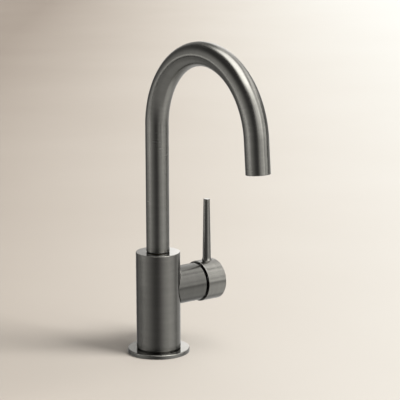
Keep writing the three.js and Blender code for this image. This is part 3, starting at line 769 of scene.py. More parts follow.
@dataclass
class Workshop:
    """The shared node groups, built once, and the materials made so far."""

    pattern: NodeTree = field(default_factory=turned_pattern_group)
    grain: NodeTree = field(default_factory=brushed_grain_group)
    # the group that masks the painted edge highlight and the painted corner shade
    painted_edges: NodeTree = field(default_factory=painted_edge_group)
    speckle: NodeTree = field(default_factory=speckle_group)
    made: dict[str, Material] = field(default_factory=dict)


# ------------------------------------------------------------------------------ finishes
@dataclass(frozen=True)
class Finish:
    """What a piece is made of: its slot in the record, and its look."""

    name: str
    slot: Slot
    colour: Colour
    roughness: float

    def on(self, shop: Workshop, axis: Axis, inner: bool = False) -> Material:
        """The material for pieces about an axis.

        Args:
            shop: the shared groups and the materials made so far.
            axis: the pieces' centre line.
            inner: whether it is for faceted inner pieces, which have no UV map.

        Returns:
            The material, made once.
        """
        key = self.key(axis, inner)
        if key not in shop.made:
            shop.made[key], bench, shader = new_material(key)
            self.shade(bench, shader, shop, axis)
            if not inner:
                self.brush(bench, shader)
        return shop.made[key]

    def key(self, axis: Axis, inner: bool) -> str:
        """The material's name, which tells apart what the finish has to tell apart."""
        return self.name

    def brush(self, bench: NodeBench, shader: Node) -> None:
        """Adds what needs the UV map of a turned piece; most finishes have nothing of it."""

    def shade(self, bench: NodeBench, shader: Node, shop: Workshop, axis: Axis) -> None:
        """Makes the material's nodes; each kind of finish has its own."""
        raise NotImplementedError

    def toned(self, bench: NodeBench, tone: NodeSocket, change: float) -> NodeSocket:
        """The finish's colour, darker by the change at tone 0 and lighter by it at 1."""
        dark, light = (tuple(by * part for part in self.colour) for by in (1 - change, 1 + change))
        return bench.mixed(tone, dark, light)


@dataclass(frozen=True)
class BrushedMetal(Finish):
    """Metal brushed round its axis: reflections are crisp around it and drawn out along it.

    End faces, which are turned finer than the walls, have their own roughness.
    """

    # colours of the painted highlight on outward edges and of the painted shade in inward corners
    rubbed: Colour
    held: Colour
    anisotropy: float
    line_depth: float
    # share of the painted edge highlight
    painted_edges: float
    face_roughness: float = 0.22
    tone_change: float = 0.10
    line_tone: float = 0.55
    line_roughness: float = 0.05
    cloud_roughness: float = 0.04
    # share of the painted corner shade
    held_share: float = 0.7
    bump_strength: float = 0.35
    face_calm: float = 0.8

    def key(self, axis: Axis, inner: bool) -> str:
        """One material for each axis, and others for inner pieces."""
        return f"{self.name}_{axis.name}" + ("_inner" if inner else "")

    def pattern(self, bench: NodeBench, shop: Workshop, axis: Axis) -> NodeSocket:
        """Pattern coordinates of a piece turned about an axis.

        Args:
            bench: where the nodes go.
            shop: the shared groups.
            axis: the piece's centre line. Pieces on the gooseneck carry their own attribute.

        Returns:
            Coordinates whose first part runs along the piece's outline.
        """
        if isinstance(axis, GooseneckAxis):
            return bench.attribute("grain", "Vector")
        place = bench.node("TexCoord")["Object"]
        given = {"Vector": place, "Location": axis.origin, "Rotation": axis.tilt}
        centred = bench.node("Mapping", given, vector_type="TEXTURE")[0]
        return bench.node("Group", {"Vector": centred}, node_tree=shop.pattern)["Vector"]

    def shade(self, bench: NodeBench, shader: Node, shop: Workshop, axis: Axis) -> None:
        """Makes the nodes: tone, a painted edge highlight and painted corner shade, roughness and
        hair-fine relief.

        The roughness is even but for lines and clouds, and goes to that of a face where the
        outline runs across the axis. The lines are shallower there too.

        Args:
            bench: where the nodes go.
            shader: the material's main shader.
            shop: the shared groups.
            axis: the pieces' centre line.
        """
        vector = self.pattern(bench, shop, axis)
        grain = bench.node("Group", {"Vector": vector}, node_tree=shop.grain)
        given = {"Edge": bench.attribute("edge"), "Vector": vector}
        painted_edges = bench.node("Group", given, node_tree=shop.painted_edges)
        facing = bench.attribute("facing")
        face = bench.math("MULTIPLY_ADD", facing, FACE_GAIN, FACE_OFFSET, clamp=True)

        bands = bench.times(grain["Band"], 1.0 - self.line_tone)
        tone = bench.plus(bench.times(grain["Line"], self.line_tone), bands)
        colour = self.toned(bench, tone, self.tone_change)
        # painted highlight along outward rounded edges, then painted shade in inward corners
        colour = bench.mixed(bench.times(painted_edges["PaintedHighlight"], self.painted_edges), colour, self.rubbed)
        colour = bench.mixed(bench.times(painted_edges["PaintedShade"], self.held_share), colour, self.held)

        lines = bench.times(grain["Line"], self.line_roughness)
        rough = bench.plus(lines, bench.times(grain["Cloud"], self.cloud_roughness))
        middle = (self.line_roughness + self.cloud_roughness) / 2
        rough = bench.plus(rough, self.roughness - middle)
        change = min(self.face_roughness - self.roughness, 0.0)
        height = bench.times(grain["Line"], bench.math("MULTIPLY_ADD", face, -self.face_calm, 1.0))
        given = {"Strength": self.bump_strength, "Distance": self.line_depth, "Height": height}
        bench.fill(shader, {
            "Metallic": 1.0,
            "Base Color": colour,
            "Roughness": bench.math("MULTIPLY_ADD", face, change, rough),
            "Normal": bench.node("Bump", given)["Normal"],
        })

    def brush(self, bench: NodeBench, shader: Node) -> None:
        """Draws reflections out along the axis, which needs the piece's UV map."""
        tangent = bench.node("Tangent", direction_type="UV_MAP", uv_map="Turned")[0]
        bench.fill(shader, {"Anisotropic": self.anisotropy, "Tangent": tangent})


@dataclass(frozen=True)
class MouldedStuff(Finish):
    """Plastic, rubber or ceramic with a fine skin and a slight change of tone."""

    grit_scale: float
    grit_depth: float
    specular: float = 0.5
    tone_change: float = 0.15
    mottle_roughness: float = 0.08
    bump_strength: float = 0.5

    def shade(self, bench: NodeBench, shader: Node, shop: Workshop, axis: Axis) -> None:
        """Makes the nodes: mottled tone and roughness, and a fine grit.

        Args:
            bench: where the nodes go.
            shader: the material's main shader.
            shop: the shared groups.
            axis: the pieces' centre line, which makes no difference here.
        """
        given = {"Scale": self.grit_scale, "Vector": bench.node("TexCoord")["Object"]}
        speckle = bench.node("Group", given, node_tree=shop.speckle)
        rough = bench.times(speckle["Mottle"], self.mottle_roughness)
        grit = {"Strength": self.bump_strength, "Distance": self.grit_depth, "Height": speckle["Grit"]}
        bench.fill(shader, {
            "Specular IOR Level": self.specular,
            "Base Color": self.toned(bench, speckle["Mottle"], self.tone_change),
            "Roughness": bench.plus(rough, self.roughness - self.mottle_roughness / 2),
            "Normal": bench.node("Bump", grit)["Normal"],
        })


GRAPHITE = BrushedMetal(
    "graphite", Slot.GRAPHITE, (0.184, 0.183, 0.171), roughness=0.24,
    rubbed=(0.42, 0.41, 0.39), held=(0.05, 0.048, 0.045),
    anisotropy=0.70, line_depth=0.025 * MM, painted_edges=0.35, face_roughness=0.09,
)
# painted light: the same graphite steel made lighter on the tube and lever to brighten them
GRAPHITE_PAINTED_LIGHT_TUBE = replace(GRAPHITE, name="graphite_painted_light_tube", colour=(0.202, 0.201, 0.188))
# painted shade: the same graphite steel made darker on the boss to darken it
GRAPHITE_PAINTED_SHADE_BOSS = replace(GRAPHITE, name="graphite_painted_shade_boss", colour=(0.112, 0.112, 0.105))
# painted light: the same graphite steel made lighter on the cap to brighten it
GRAPHITE_PAINTED_LIGHT_CAP = replace(
    GRAPHITE, name="graphite_painted_light_cap", colour=(0.205, 0.204, 0.191), face_roughness=0.20
)
BRASS = BrushedMetal(
    "brass", Slot.BRASS, (0.62, 0.46, 0.22), roughness=0.30,
    rubbed=(0.80, 0.66, 0.38), held=(0.16, 0.11, 0.05),
    anisotropy=0.45, line_depth=0.03 * MM, painted_edges=0.5,
)
ZINC = BrushedMetal(
    "zinc", Slot.ZINC, (0.52, 0.53, 0.55), roughness=0.34,
    rubbed=(0.72, 0.72, 0.72), held=(0.15, 0.15, 0.15),
    anisotropy=0.30, line_depth=0.02 * MM, painted_edges=0.4,
)
RUBBER = MouldedStuff("rubber", Slot.RUBBER, (0.009, 0.009, 0.0095), 0.72, 2400.0, 0.03 * MM, 0.3)
PLASTIC = MouldedStuff("plastic", Slot.PLASTIC, (0.006, 0.006, 0.0065), 0.50, 3000.0, 0.012 * MM, 0.4)
ACETAL = MouldedStuff("acetal", Slot.ACETAL, (0.70, 0.68, 0.61), 0.42, 2600.0, 0.010 * MM)
ALUMINA = MouldedStuff("alumina", Slot.CERAMIC, (0.80, 0.78, 0.72), 0.18, 4200.0, 0.004 * MM)


# ------------------------------------------------------------------------------ sub-assemblies
def node_span(node: str) -> tuple[Array, Array]:
    """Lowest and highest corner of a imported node, as arrays."""
    low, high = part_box(node)
    return np.array(low), np.array(high)


def node_middle(node: str) -> tuple[float, float, float]:
    """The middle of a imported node's box."""
    low, high = node_span(node)
    return tuple(((low + high) / 2).tolist())


UPRIGHT = StraightAxis("upright", (0.0, 0.0, 0.0))
ALONG_X = (0.0, math.pi / 2, 0.0)
ALONG_Y = (-math.pi / 2, 0.0, 0.0)
DOWNWARD = (math.pi, 0.0, 0.0)
FIT = 0.3 * MM  # the usual clearance between two pieces
SOFT = 0.2 * MM  # the usual rounding of edges out of sight
PAST = 2 * MM  # how far a drilling tool reaches past the wall
SPOUT_DROP = 0.9 * MM  # the tube's foot is drawn this much closer to the body than it is packed


@dataclass
class SubAssembly:
    """What every sub-assembly shares: its body, the workshop and how a piece is put in."""

    body: ClassVar[Body] = Body.FIXED

    shop: Workshop

    def build(self) -> None:
        """Builds and dresses all of it; each sub-assembly has its own way."""
        raise NotImplementedError

    def put(
        self, node: str, surface: Surface, finish: Finish, axis: Axis = UPRIGHT,
        holes: Sequence[Surface] = (),
    ) -> None:
        """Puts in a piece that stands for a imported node.

        Args:
            node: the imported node.
            surface: the piece's surface.
            finish: what it is made of.
            axis: the centre line of its finish.
            holes: what is drilled out of it.
        """
        piece = mesh_object(f"{node}_fine", surface)
        if holes:
            drilled(piece, holes)
        piece.data.materials.clear()
        piece.data.materials.append(finish.on(self.shop, axis))
        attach(piece, self.body.value)
        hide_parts(node)
        log.info("%s: %d faces on %s", piece.name, len(piece.data.polygons), self.body.value)

    def turn(
        self, node: str, outline: Outline, finish: Finish, turns: int, axis: Axis = UPRIGHT,
        holes: Sequence[Surface] = (), **shape: object,
    ) -> None:
        """Puts in a piece that is turned about its centre line.

        Args:
            node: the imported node.
            outline: the piece's outline.
            finish: what it is made of.
            turns: number of steps round it.
            axis: its centre line.
            holes: what is drilled out of it.
            **shape: the host radius or the relief that `turned` takes.
        """
        self.put(node, turned(outline, axis, turns, **shape), finish, axis, holes)

    def ring(
        self, node: str, inner: float, edge: float, finish: Finish, turns: int = 128, drop: float = 0.0
    ) -> None:
        """Puts in a flat upright ring such as a washer, with its edges rounded.

        Args:
            node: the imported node.
            inner: radius of its hole.
            edge: rounding of its edges.
            finish: what it is made of.
            turns: number of steps round it.
            drop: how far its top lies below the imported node's.
        """
        low, high = node_span(node)
        self.turn(node, ring_outline(inner, high[0], low[2], high[2] - drop, [edge] * 4), finish, turns)

    def dress(self, node: str, finish: Finish, axis: Axis = UPRIGHT) -> None:
        """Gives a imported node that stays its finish.

        Args:
            node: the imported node.
            finish: what it is made of.
            axis: the centre line of its finish.
        """
        thing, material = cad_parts[node], finish.on(self.shop, axis, inner=True)
        if not thing.material_slots:
            thing.data.materials.append(material)
        for slot in thing.material_slots:
            slot.material = material
        log.info("%s: dressed as %s", node, material.name)


@dataclass
class DeckFixing(SubAssembly):
    """The base on the deck, and what clamps it from below."""

    hole: float = 16.3 * MM
    flange_edge: float = 0.8 * MM
    flange_foot_edge: float = 0.25 * MM
    groove_depth: float = 1.5 * MM
    groove_width: float = 7.6 * MM
    gasket_width: float = 7.0 * MM
    rubber_edge: float = 0.5 * MM
    shank_bore: float = 12.5 * MM
    shank_pitch: float = 1.5 * MM
    shank_thread_depth: float = 0.8 * MM
    shank_lead_in: float = 1.0 * MM
    collar_chamfer: float = 0.6 * MM
    nut_base_height: float = 6.0 * MM
    nut_corner_radius: float = 20.5 * MM
    nut_chamfer: float = 1.3 * MM
    nut_longest: float = 0.4 * MM
    jack_radius: float = 2.0 * MM
    jack_head_height: float = 3.0 * MM
    jack_key_radius: float = 1.4 * MM
    jack_key_depth: float = 2.0 * MM
    jack_pitch: float = 0.7 * MM
    jack_thread_depth: float = 0.3 * MM
    jacks: tuple[str, ...] = ("jack_screw_1", "jack_screw_2")

    def build(self) -> None:
        """Builds and dresses all of it."""
        self.flange()
        gasket_bore = node_span("deck_gasket")[1][0] - self.gasket_width
        self.ring("deck_gasket", gasket_bore, self.rubber_edge, RUBBER)
        self.ring("rubber_washer", self.hole, self.rubber_edge, RUBBER)
        self.ring("clamp_washer", self.hole, SOFT, ZINC)
        self.shank()
        self.nut()
        for node in self.jacks:
            self.jack_screw(node)

    def flange(self) -> None:
        """The flange: a flat disc with a rounded rim and a groove for the gasket below."""
        (_, _, low), (rim, _, high) = node_span("base_flange")
        outer = node_span("deck_gasket")[1][0] + FIT
        inner, roof, soft = outer - self.groove_width, low + self.groove_depth, self.flange_foot_edge
        corners = [
            (self.hole, low, soft), (inner, low, soft), (inner, roof, soft),
            (outer, roof, soft), (outer, low, soft), (rim, low, soft),
            (rim, high, self.flange_edge), (self.hole, high, soft),
        ]
        self.turn("base_flange", rounded(corners, arc_steps=6), GRAPHITE, 192)

    def shank(self) -> None:
        """The hollow shank: an outside thread below the deck and a smooth collar above."""
        (_, _, low), (collar, _, high) = node_span("threaded_shank")
        crest, step = self.hole - FIT, node_span("body_shell")[0][2]
        chamfer, lead_in = self.collar_chamfer, self.shank_lead_in
        corners = [
            (self.shank_bore, low, SOFT), (crest, low, chamfer), (crest, step, SOFT),
            (collar, step, SOFT), (collar, high, chamfer), (self.shank_bore, high, SOFT),
        ]
        outline = rounded(corners, arc_steps=3, longest=self.shank_pitch / 8)
        thread = Thread(crest, low + lead_in, -lead_in, self.shank_pitch, self.shank_thread_depth)
        self.turn("threaded_shank", outline, BRASS, 72, relief=thread.relief)

    def nut(self) -> None:
        """The nut: a round base with a hexagon below it, whose corners are turned off."""
        (_, _, low), (base, _, high) = node_span("mounting_nut")
        base_foot, wide = high - self.nut_base_height, self.nut_corner_radius
        corners = [
            (self.hole, low, SOFT), (wide, low), (wide, base_foot),
            (base, base_foot, SOFT), (base, high, 2 * SOFT), (self.hole, high, SOFT),
        ]
        outline = rounded(corners, arc_steps=3, longest=self.nut_longest)
        ends = (self.jack_radius + FIT, base_foot - PAST, high + PAST, 32)
        holes = [round_bar(self.jack_axis(node), *ends) for node in self.jacks]
        self.turn("mounting_nut", outline, BRASS, 180, holes=holes, relief=self.nut_relief)

    def nut_relief(self, radius: Array, height: Array, angle: Array) -> Array:
        """New radius of the nut's lower part: a hexagon cut back to a cone near its lower end.

        The cone widens by the square root of 3 for each step up, which leaves the curved
        bevels of a spanner nut.

        Args:
            radius: radius of each point.
            height: height of each point.
            angle: angle of each point about the axis.

        Returns:
            The radius with the hexagon's points moved.
        """
        low, high = node_span("mounting_nut")
        cone = self.nut_corner_radius - self.nut_chamfer + (height - low[2]) * math.sqrt(3)
        cut = np.minimum(Hexagon(self.nut_corner_radius).relief(radius, height, angle), cone)
        below_base = height < high[2] - self.nut_base_height
        return np.where(below_base & (radius > self.hole + MM), cut, radius)

    def jack_axis(self, node: str) -> StraightAxis:
        """The upright centre line of a jack screw."""
        x, y, _ = node_middle(node)
        return StraightAxis(node, (x, y, 0.0))

    def jack_screw(self, node: str) -> None:
        """A threaded screw with a round head and a hexagonal socket in its lower face.

        Args:
            node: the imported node.
        """
        (left, _, low), (right, _, high) = node_span(node)
        head, head_top = (right - left) / 2, low + self.jack_head_height
        key, roof = self.jack_key_radius, low + self.jack_key_depth
        crest = self.jack_radius
        corners = [
            (0.0, roof), (key, roof), (key, low), (head, low, 2 * SOFT),
            (head, head_top, SOFT), (crest, head_top), (crest, high, SOFT), (0.0, high),
        ]
        outline = rounded(corners, closed=False, arc_steps=3, longest=self.jack_pitch / 6)
        thread = Thread(crest, head_top, high, self.jack_pitch, self.jack_thread_depth)
        relief = both(Hexagon(key).relief, thread.relief)
        self.turn(node, outline, ZINC, 36, self.jack_axis(node), relief=relief)


@dataclass(frozen=True)
class GrubScrew:
    """A headless threaded screw with a hexagonal socket in its outer face."""

    radius: float
    key_radius: float = 1.3 * MM
    key_depth: float = 2.5 * MM
    edge: float = 0.3 * MM
    pitch: float = 0.7 * MM
    thread_depth: float = 0.25 * MM

    def surface(self, axis: StraightAxis, tip: float, face: float) -> Surface:
        """The screw's surface.

        Args:
            axis: its centre line.
            tip: height of its inner end.
            face: height of its outer face.

        Returns:
            The surface.
        """
        radius, key, floor = self.radius, self.key_radius, face - self.key_depth
        corners = [
            (0.0, tip), (radius, tip, self.edge), (radius, face, self.edge),
            (key, face), (key, floor), (0.0, floor),
        ]
        outline = rounded(corners, closed=False, arc_steps=3, longest=self.pitch / 6)
        thread = Thread(radius, tip, face, self.pitch, self.thread_depth)
        return turned(outline, axis, 36, relief=both(Hexagon(key).relief, thread.relief))


@dataclass
class Column(SubAssembly):
    """The upright body with what it holds."""

    wall: float = 3.5 * MM
    plate: float = 10.5 * MM
    top_edge: float = 0.5 * MM
    foot_edge: float = 0.3 * MM
    foot_groove_height: float = 0.7 * MM
    foot_groove_depth: float = 1.2 * MM
    hub_hole: float = 9.5 * MM
    longest: float = 2.0 * MM
    window_radius: float = 15.0 * MM
    upper_bush_edge: float = 0.15 * MM
    stop_screw: GrubScrew = GrubScrew(2.0 * MM)

    def build(self) -> None:
        """Builds and dresses all of it."""
        self.shell()
        hole = self.hub_hole
        self.ring("spout_bush_upper", hole, self.upper_bush_edge, PLASTIC, 96, SPOUT_DROP)
        self.ring("spout_bush_lower", hole, SOFT, PLASTIC, 96)
        self.screw()
        self.dress("waterway_core", BRASS)

    def shell(self) -> None:
        """The shell: a tube with a shadow groove at its foot and a thick top plate.

        The plate has the stepped seat that the spout's hub and bush stand in.
        """
        (_, _, low), (outer, _, high) = node_span("body_shell")
        (_, _, bush_foot), (bush, _, _) = node_span("spout_bush_upper")
        bore, plate_foot = outer - self.wall, high - self.plate
        sleeve, sleeve_foot = bush + FIT, bush_foot - FIT
        groove, groove_top = outer - self.foot_groove_depth, low + self.foot_groove_height
        hub = self.hub_hole
        corners = [
            (bore, low, SOFT), (groove, low), (groove, groove_top),
            (outer, groove_top, self.foot_edge), (outer, high, self.top_edge),
            (sleeve, high, SOFT), (sleeve, sleeve_foot), (hub, sleeve_foot, SOFT),
            (hub, plate_foot, SOFT), (bore, plate_foot),
        ]
        past = outer + PAST
        holes = [
            round_bar(valve_axis(), self.window_radius, bore / 2, past, 96),
            round_bar(self.screw_axis(), self.stop_screw.radius + FIT, hub / 2, past, 40),
        ]
        outline = rounded(corners, longest=self.longest)
        self.turn("body_shell", outline, GRAPHITE, 192, holes=holes)

    def screw_axis(self) -> StraightAxis:
        """The centre line of the grub screw at the back, outward from the body's axis."""
        return StraightAxis("stop_screw", (0.0, 0.0, node_middle("spout_stop_screw")[2]), ALONG_Y)

    def screw(self) -> None:
        """The grub screw at the back, with its hexagonal socket outward."""
        (_, tip, _), (_, face, _) = node_span("spout_stop_screw")
        axis = self.screw_axis()
        self.put("spout_stop_screw", self.stop_screw.surface(axis, tip, face), ZINC, axis)


@dataclass
class Spout(SubAssembly):
    """The arched spout with its hub, rings and aerator."""

    body: ClassVar[Body] = Body.SPOUT

    overall_height: float = 302.0 * MM
    tube_wall: float = 1.2 * MM
    arch_radius: float = 73.2 * MM
    sweep: float = math.radians(175.25)
    tail: float = 30.0 * MM
    foot_edge: float = 0.35 * MM
    mouth_edge: float = 0.4 * MM
    step: float = 1.6 * MM
    hub_bore: float = 6.0 * MM
    hub_radius: float = 9.2 * MM
    hub_edge: float = 0.3 * MM
    groove_edge: float = 0.1 * MM
    groove_radius: float = 7.7 * MM
    groove_height: float = 2.1 * MM
    groove_rises: tuple[float, float] = (1.5 * MM, 4.6 * MM)
    stop_groove_depth: float = 1.8 * MM
    stop_groove_height: float = 5.2 * MM
    oring_section: float = 0.75 * MM
    oring_steps: int = 24
    aerator_wall: float = 1.2 * MM
    aerator_recess: float = 0.8 * MM
    aerator_length: float = 8.0 * MM
    aerator_edges: tuple[float, ...] = (0.15 * MM, 0.3 * MM, 0.35 * MM, 0.3 * MM)
    aerator_longest: float = 0.15 * MM
    aerator_pitch: float = 1.0 * MM
    aerator_thread_depth: float = 0.4 * MM
    aerator_lead_in: float = 1.0 * MM
    aerator_lip: float = 1.5 * MM
    insert_rim_edge: float = 0.4 * MM
    insert_face: float = 2.4 * MM
    insert_skirt: float = 1.0 * MM
    jet_radius: float = 0.75 * MM
    jet_flare: float = 0.35 * MM
    jet_flare_depth: float = 0.3 * MM
    jet_lip: float = 0.05 * MM
    jet_rings: tuple[tuple[float, int], ...] = ((0.0, 1), (2.6 * MM, 6), (5.2 * MM, 12))
    washer_bore: float = 6.5 * MM
    washer_thickness: float = 1.5 * MM
    washer_edge: float = 0.3 * MM

    def build(self) -> None:
        """Builds and dresses all of it."""
        self.tube()
        self.hub()
        for node in ("spout_oring_lower", "spout_oring_upper"):
            self.oring(node)
        self.housing()
        self.insert()
        self.washer()

    @property
    def tube_radius(self) -> float:
        """Outer radius of the tube."""
        return float(node_span("spout_tube")[1][0])

    @property
    def line(self) -> GooseneckAxis:
        """The tube's centre line; its arch stands a tube and an arch radius below the top.

        Returns:
            The centre line.
        """
        foot = float(node_span("spout_tube")[0][2]) - SPOUT_DROP
        arch_height = self.overall_height - self.tube_radius - self.arch_radius
        return GooseneckAxis("gooseneck", foot, arch_height, self.arch_radius, self.sweep, self.tail)

    @property
    def mouth(self) -> StraightAxis:
        """The centre line at the mouth, with its height counted outward from the tube's end."""
        end, _, _ = self.line.frames(np.array([self.line.length]))
        return StraightAxis("mouth", tuple(end[0].tolist()), (self.sweep, 0.0, 0.0))

    def tube(self) -> None:
        """The tube, a thin wall carried along the gooseneck with its rims rounded."""
        radius, line = self.tube_radius, self.line
        edges = (SOFT, self.foot_edge, self.mouth_edge, self.mouth_edge)
        outline = ring_outline(radius - self.tube_wall, radius, 0.0, line.length, edges, 5, self.step)
        self.turn("spout_tube", outline, GRAPHITE_PAINTED_LIGHT_TUBE, 112, line)

    def hub(self) -> None:
        """The hub that turns in the body, with two ring grooves and the stop groove."""
        (_, _, low), (neck, _, high) = node_span("spout_hub")
        step, stop = node_span("spout_tube")[0][2], node_middle("spout_stop_screw")[2]
        bore, radius, soft = self.hub_bore, self.hub_radius, self.hub_edge
        corners = [(bore, low, soft), (radius, low, soft)]
        for rise in self.groove_rises:
            foot = low + rise
            corners += self.groove(foot, foot + self.groove_height, self.groove_radius)
        half = self.stop_groove_height / 2
        corners += self.groove(stop - half, stop + half, radius - self.stop_groove_depth)
        corners += [(radius, step), (neck, step, self.groove_edge), (neck, high, soft), (bore, high, soft)]
        self.turn("spout_hub", rounded(corners, arc_steps=3), BRASS, 96)

    def groove(self, foot: float, top: float, floor: float) -> list[Corner]:
        """The corners of one groove in the hub, from its lower edge to its upper one."""
        places = ((self.hub_radius, foot), (floor, foot), (floor, top), (self.hub_radius, top))
        return [(*place, self.groove_edge) for place in places]

    def oring(self, node: str) -> None:
        """A rubber ring of round section: a circle carried round the axis.

        Args:
            node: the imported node.
        """
        size, height = self.oring_section, node_middle(node)[2]
        centre = node_span(node)[1][0] - size
        angle = np.linspace(0.0, 2 * math.pi, self.oring_steps + 1)
        outline = plain_outline(centre + size * np.cos(angle), height + size * np.sin(angle))
        self.turn(node, outline, RUBBER, 96)

    @property
    def aerator_radius(self) -> float:
        """Radius of the aerator in the tube's mouth."""
        return self.tube_radius - self.tube_wall - FIT

    @property
    def aerator_back(self) -> float:
        """Height of the aerator's inner end along the mouth's line."""
        return -self.aerator_recess - self.aerator_length

    def housing(self) -> None:
        """The aerator's brass ring, threaded outside, with a smooth lip at the mouth."""
        outer, low, high = self.aerator_radius, self.aerator_back, -self.aerator_recess
        outline = ring_outline(
            outer - self.aerator_wall, outer, low, high, self.aerator_edges, 4, self.aerator_longest
        )
        ends = (low + self.aerator_lead_in, high - self.aerator_lip)
        thread = Thread(outer, *ends, self.aerator_pitch, self.aerator_thread_depth)
        self.turn("aerator_housing", outline, BRASS, 96, self.mouth, relief=thread.relief)

    def insert(self) -> None:
        """The plastic insert: a cup whose face has rings of round jets."""
        outer = self.aerator_radius - self.aerator_wall - FIT
        inner, face, back = outer - self.insert_skirt, -self.aerator_recess, self.aerator_back
        floor = face - self.insert_face
        corners = [
            (0.0, floor), (inner, floor, SOFT), (inner, back, SOFT),
            (outer, back, SOFT), (outer, face, self.insert_rim_edge), (0.0, face),
        ]
        jets = [
            self.jet(ring, 2 * math.pi * i / count, floor, face)
            for ring, count in self.jet_rings
            for i in range(count)
        ]
        outline = rounded(corners, closed=False, arc_steps=4)
        self.turn("aerator_insert", outline, PLASTIC, 96, self.mouth, jets)

    def jet(self, ring: float, angle: float, floor: float, face: float) -> Surface:
        """The drilling tool of one jet, which flares at the face.

        Args:
            ring: radius of the ring that the jet stands on.
            angle: its angle on the ring.
            floor: height of the face's inner side along the mouth's line.
            face: height of the face.

        Returns:
            The tool.
        """
        mouth = self.mouth
        offset = Vector((ring * math.cos(angle), ring * math.sin(angle), 0.0))
        place = Vector(mouth.origin) + Euler(mouth.tilt).to_matrix() @ offset
        hole, wide = self.jet_radius, self.jet_radius + self.jet_flare
        corners = [
            (0.0, floor - MM), (hole, floor - MM), (hole, face - self.jet_flare_depth),
            (wide, face + self.jet_lip), (wide, face + MM), (0.0, face + MM),
        ]
        axis = StraightAxis("jet", tuple(place), mouth.tilt)
        return turned(rounded(corners, closed=False), axis, 24)

    def washer(self) -> None:
        """The rubber washer behind the aerator."""
        top = self.aerator_back - FIT
        ends, edges = (top - self.washer_thickness, top), [self.washer_edge] * 4
        outline = ring_outline(self.washer_bore, self.aerator_radius, *ends, edges)
        self.turn("aerator_washer", outline, RUBBER, 72, self.mouth)


def valve_axis() -> StraightAxis:
    """The valve's centre line, along +X from the body's axis."""
    return StraightAxis("valve", (0.0, 0.0, node_middle("valve_boss")[2]), ALONG_X)


@dataclass
class Valve(SubAssembly):
    """The boss on the body's side with the cartridge in it."""

    front_edge: float = 0.5 * MM
    seat_edge: float = 0.5 * MM
    bore: float = 12.8 * MM
    counterbore: float = 15.0 * MM
    collar: float = 3.0 * MM
    spigot: float = 14.7 * MM
    visible_gap: float = 0.3 * MM
    cut_reach: float = 8.0 * MM
    longest: float = 3.0 * MM
    dome_radius: float = 15.8 * MM
    dome_wall: float = 1.3 * MM
    dome_hole: float = math.radians(42.0)
    dome_steps: int = 24
    nut_pitch: float = 1.0 * MM
    nut_thread_depth: float = 0.35 * MM
    nut_longest: float = 0.15 * MM

    def build(self) -> None:
        """Builds and dresses all of it."""
        self.boss()
        self.dome()
        self.nut()
        finishes = {
            ACETAL: ("cartridge_base", "cartridge_housing"),
            ALUMINA: ("fixed_ceramic_disc", "moving_ceramic_disc"),
            PLASTIC: ("disc_carrier", "cartridge_rotor"),
            RUBBER: ("cartridge_seal",),
            ZINC: ("tilt_pin",),
        }
        for finish, nodes in finishes.items():
            for node in nodes:
                self.dress(node, finish, valve_axis())

    def boss(self) -> None:
        """The boss: a barrel cut to the body's round side, with a spigot through its window."""
        (low, _, _), (high, radius, _) = node_span("valve_boss")
        shoulder = node_span("bonnet_nut")[0][0] - FIT - self.collar - FIT
        spigot, gap, wide = self.spigot, self.visible_gap, self.counterbore
        corners = [
            (self.bore, low, SOFT), (spigot, low, SOFT), (spigot, gap, 0.0, ON_HOST),
            (radius, gap, self.seat_edge, ON_HOST), (radius, self.cut_reach, 0.0, ON_HOST),
            (radius, high, self.front_edge), (wide, high, SOFT),
            (wide, shoulder), (self.bore, shoulder, SOFT),
        ]
        outline, host = rounded(corners, longest=self.longest), float(node_span("body_shell")[1][0])
        self.turn("valve_boss", outline, GRAPHITE_PAINTED_SHADE_BOSS, 192, valve_axis(), host_radius=host)

    def dome(self) -> None:
        """The dark dome behind the cap: a band of a sphere about the handle's pivot.

        At angle t from the axis the wall's sides are (r sin t, pivot + r cos t), with r the
        outer radius on the way in and the inner one on the way back.
        """
        pivot = node_middle("tilt_pin")[0]
        foot = float(node_span("bonnet_dome")[0][0]) - pivot
        outer, inner = self.dome_radius, self.dome_radius - self.dome_wall
        out = np.linspace(math.acos(foot / outer), self.dome_hole, self.dome_steps + 1)
        back = np.linspace(self.dome_hole, math.acos(foot / inner), self.dome_steps + 1)
        angle = np.concatenate([out, back, out[:1]])
        size = np.repeat([outer, inner, outer], [len(out), len(back), 1])
        outline = plain_outline(size * np.sin(angle), pivot + size * np.cos(angle))
        self.turn("bonnet_dome", outline, PLASTIC, 128, valve_axis())

    def nut(self) -> None:
        """The nut that holds the cartridge down, threaded outside."""
        (low, _, _), (high, outer, _) = node_span("bonnet_nut")
        edges = [SOFT * by for by in (1, 2, 2, 1)]
        outline = ring_outline(self.bore, outer, low, high, edges, longest=self.nut_longest)
        thread = Thread(outer, low, high, self.nut_pitch, self.nut_thread_depth)
        self.turn("bonnet_nut", outline, BRASS, 96, valve_axis(), relief=thread.relief)


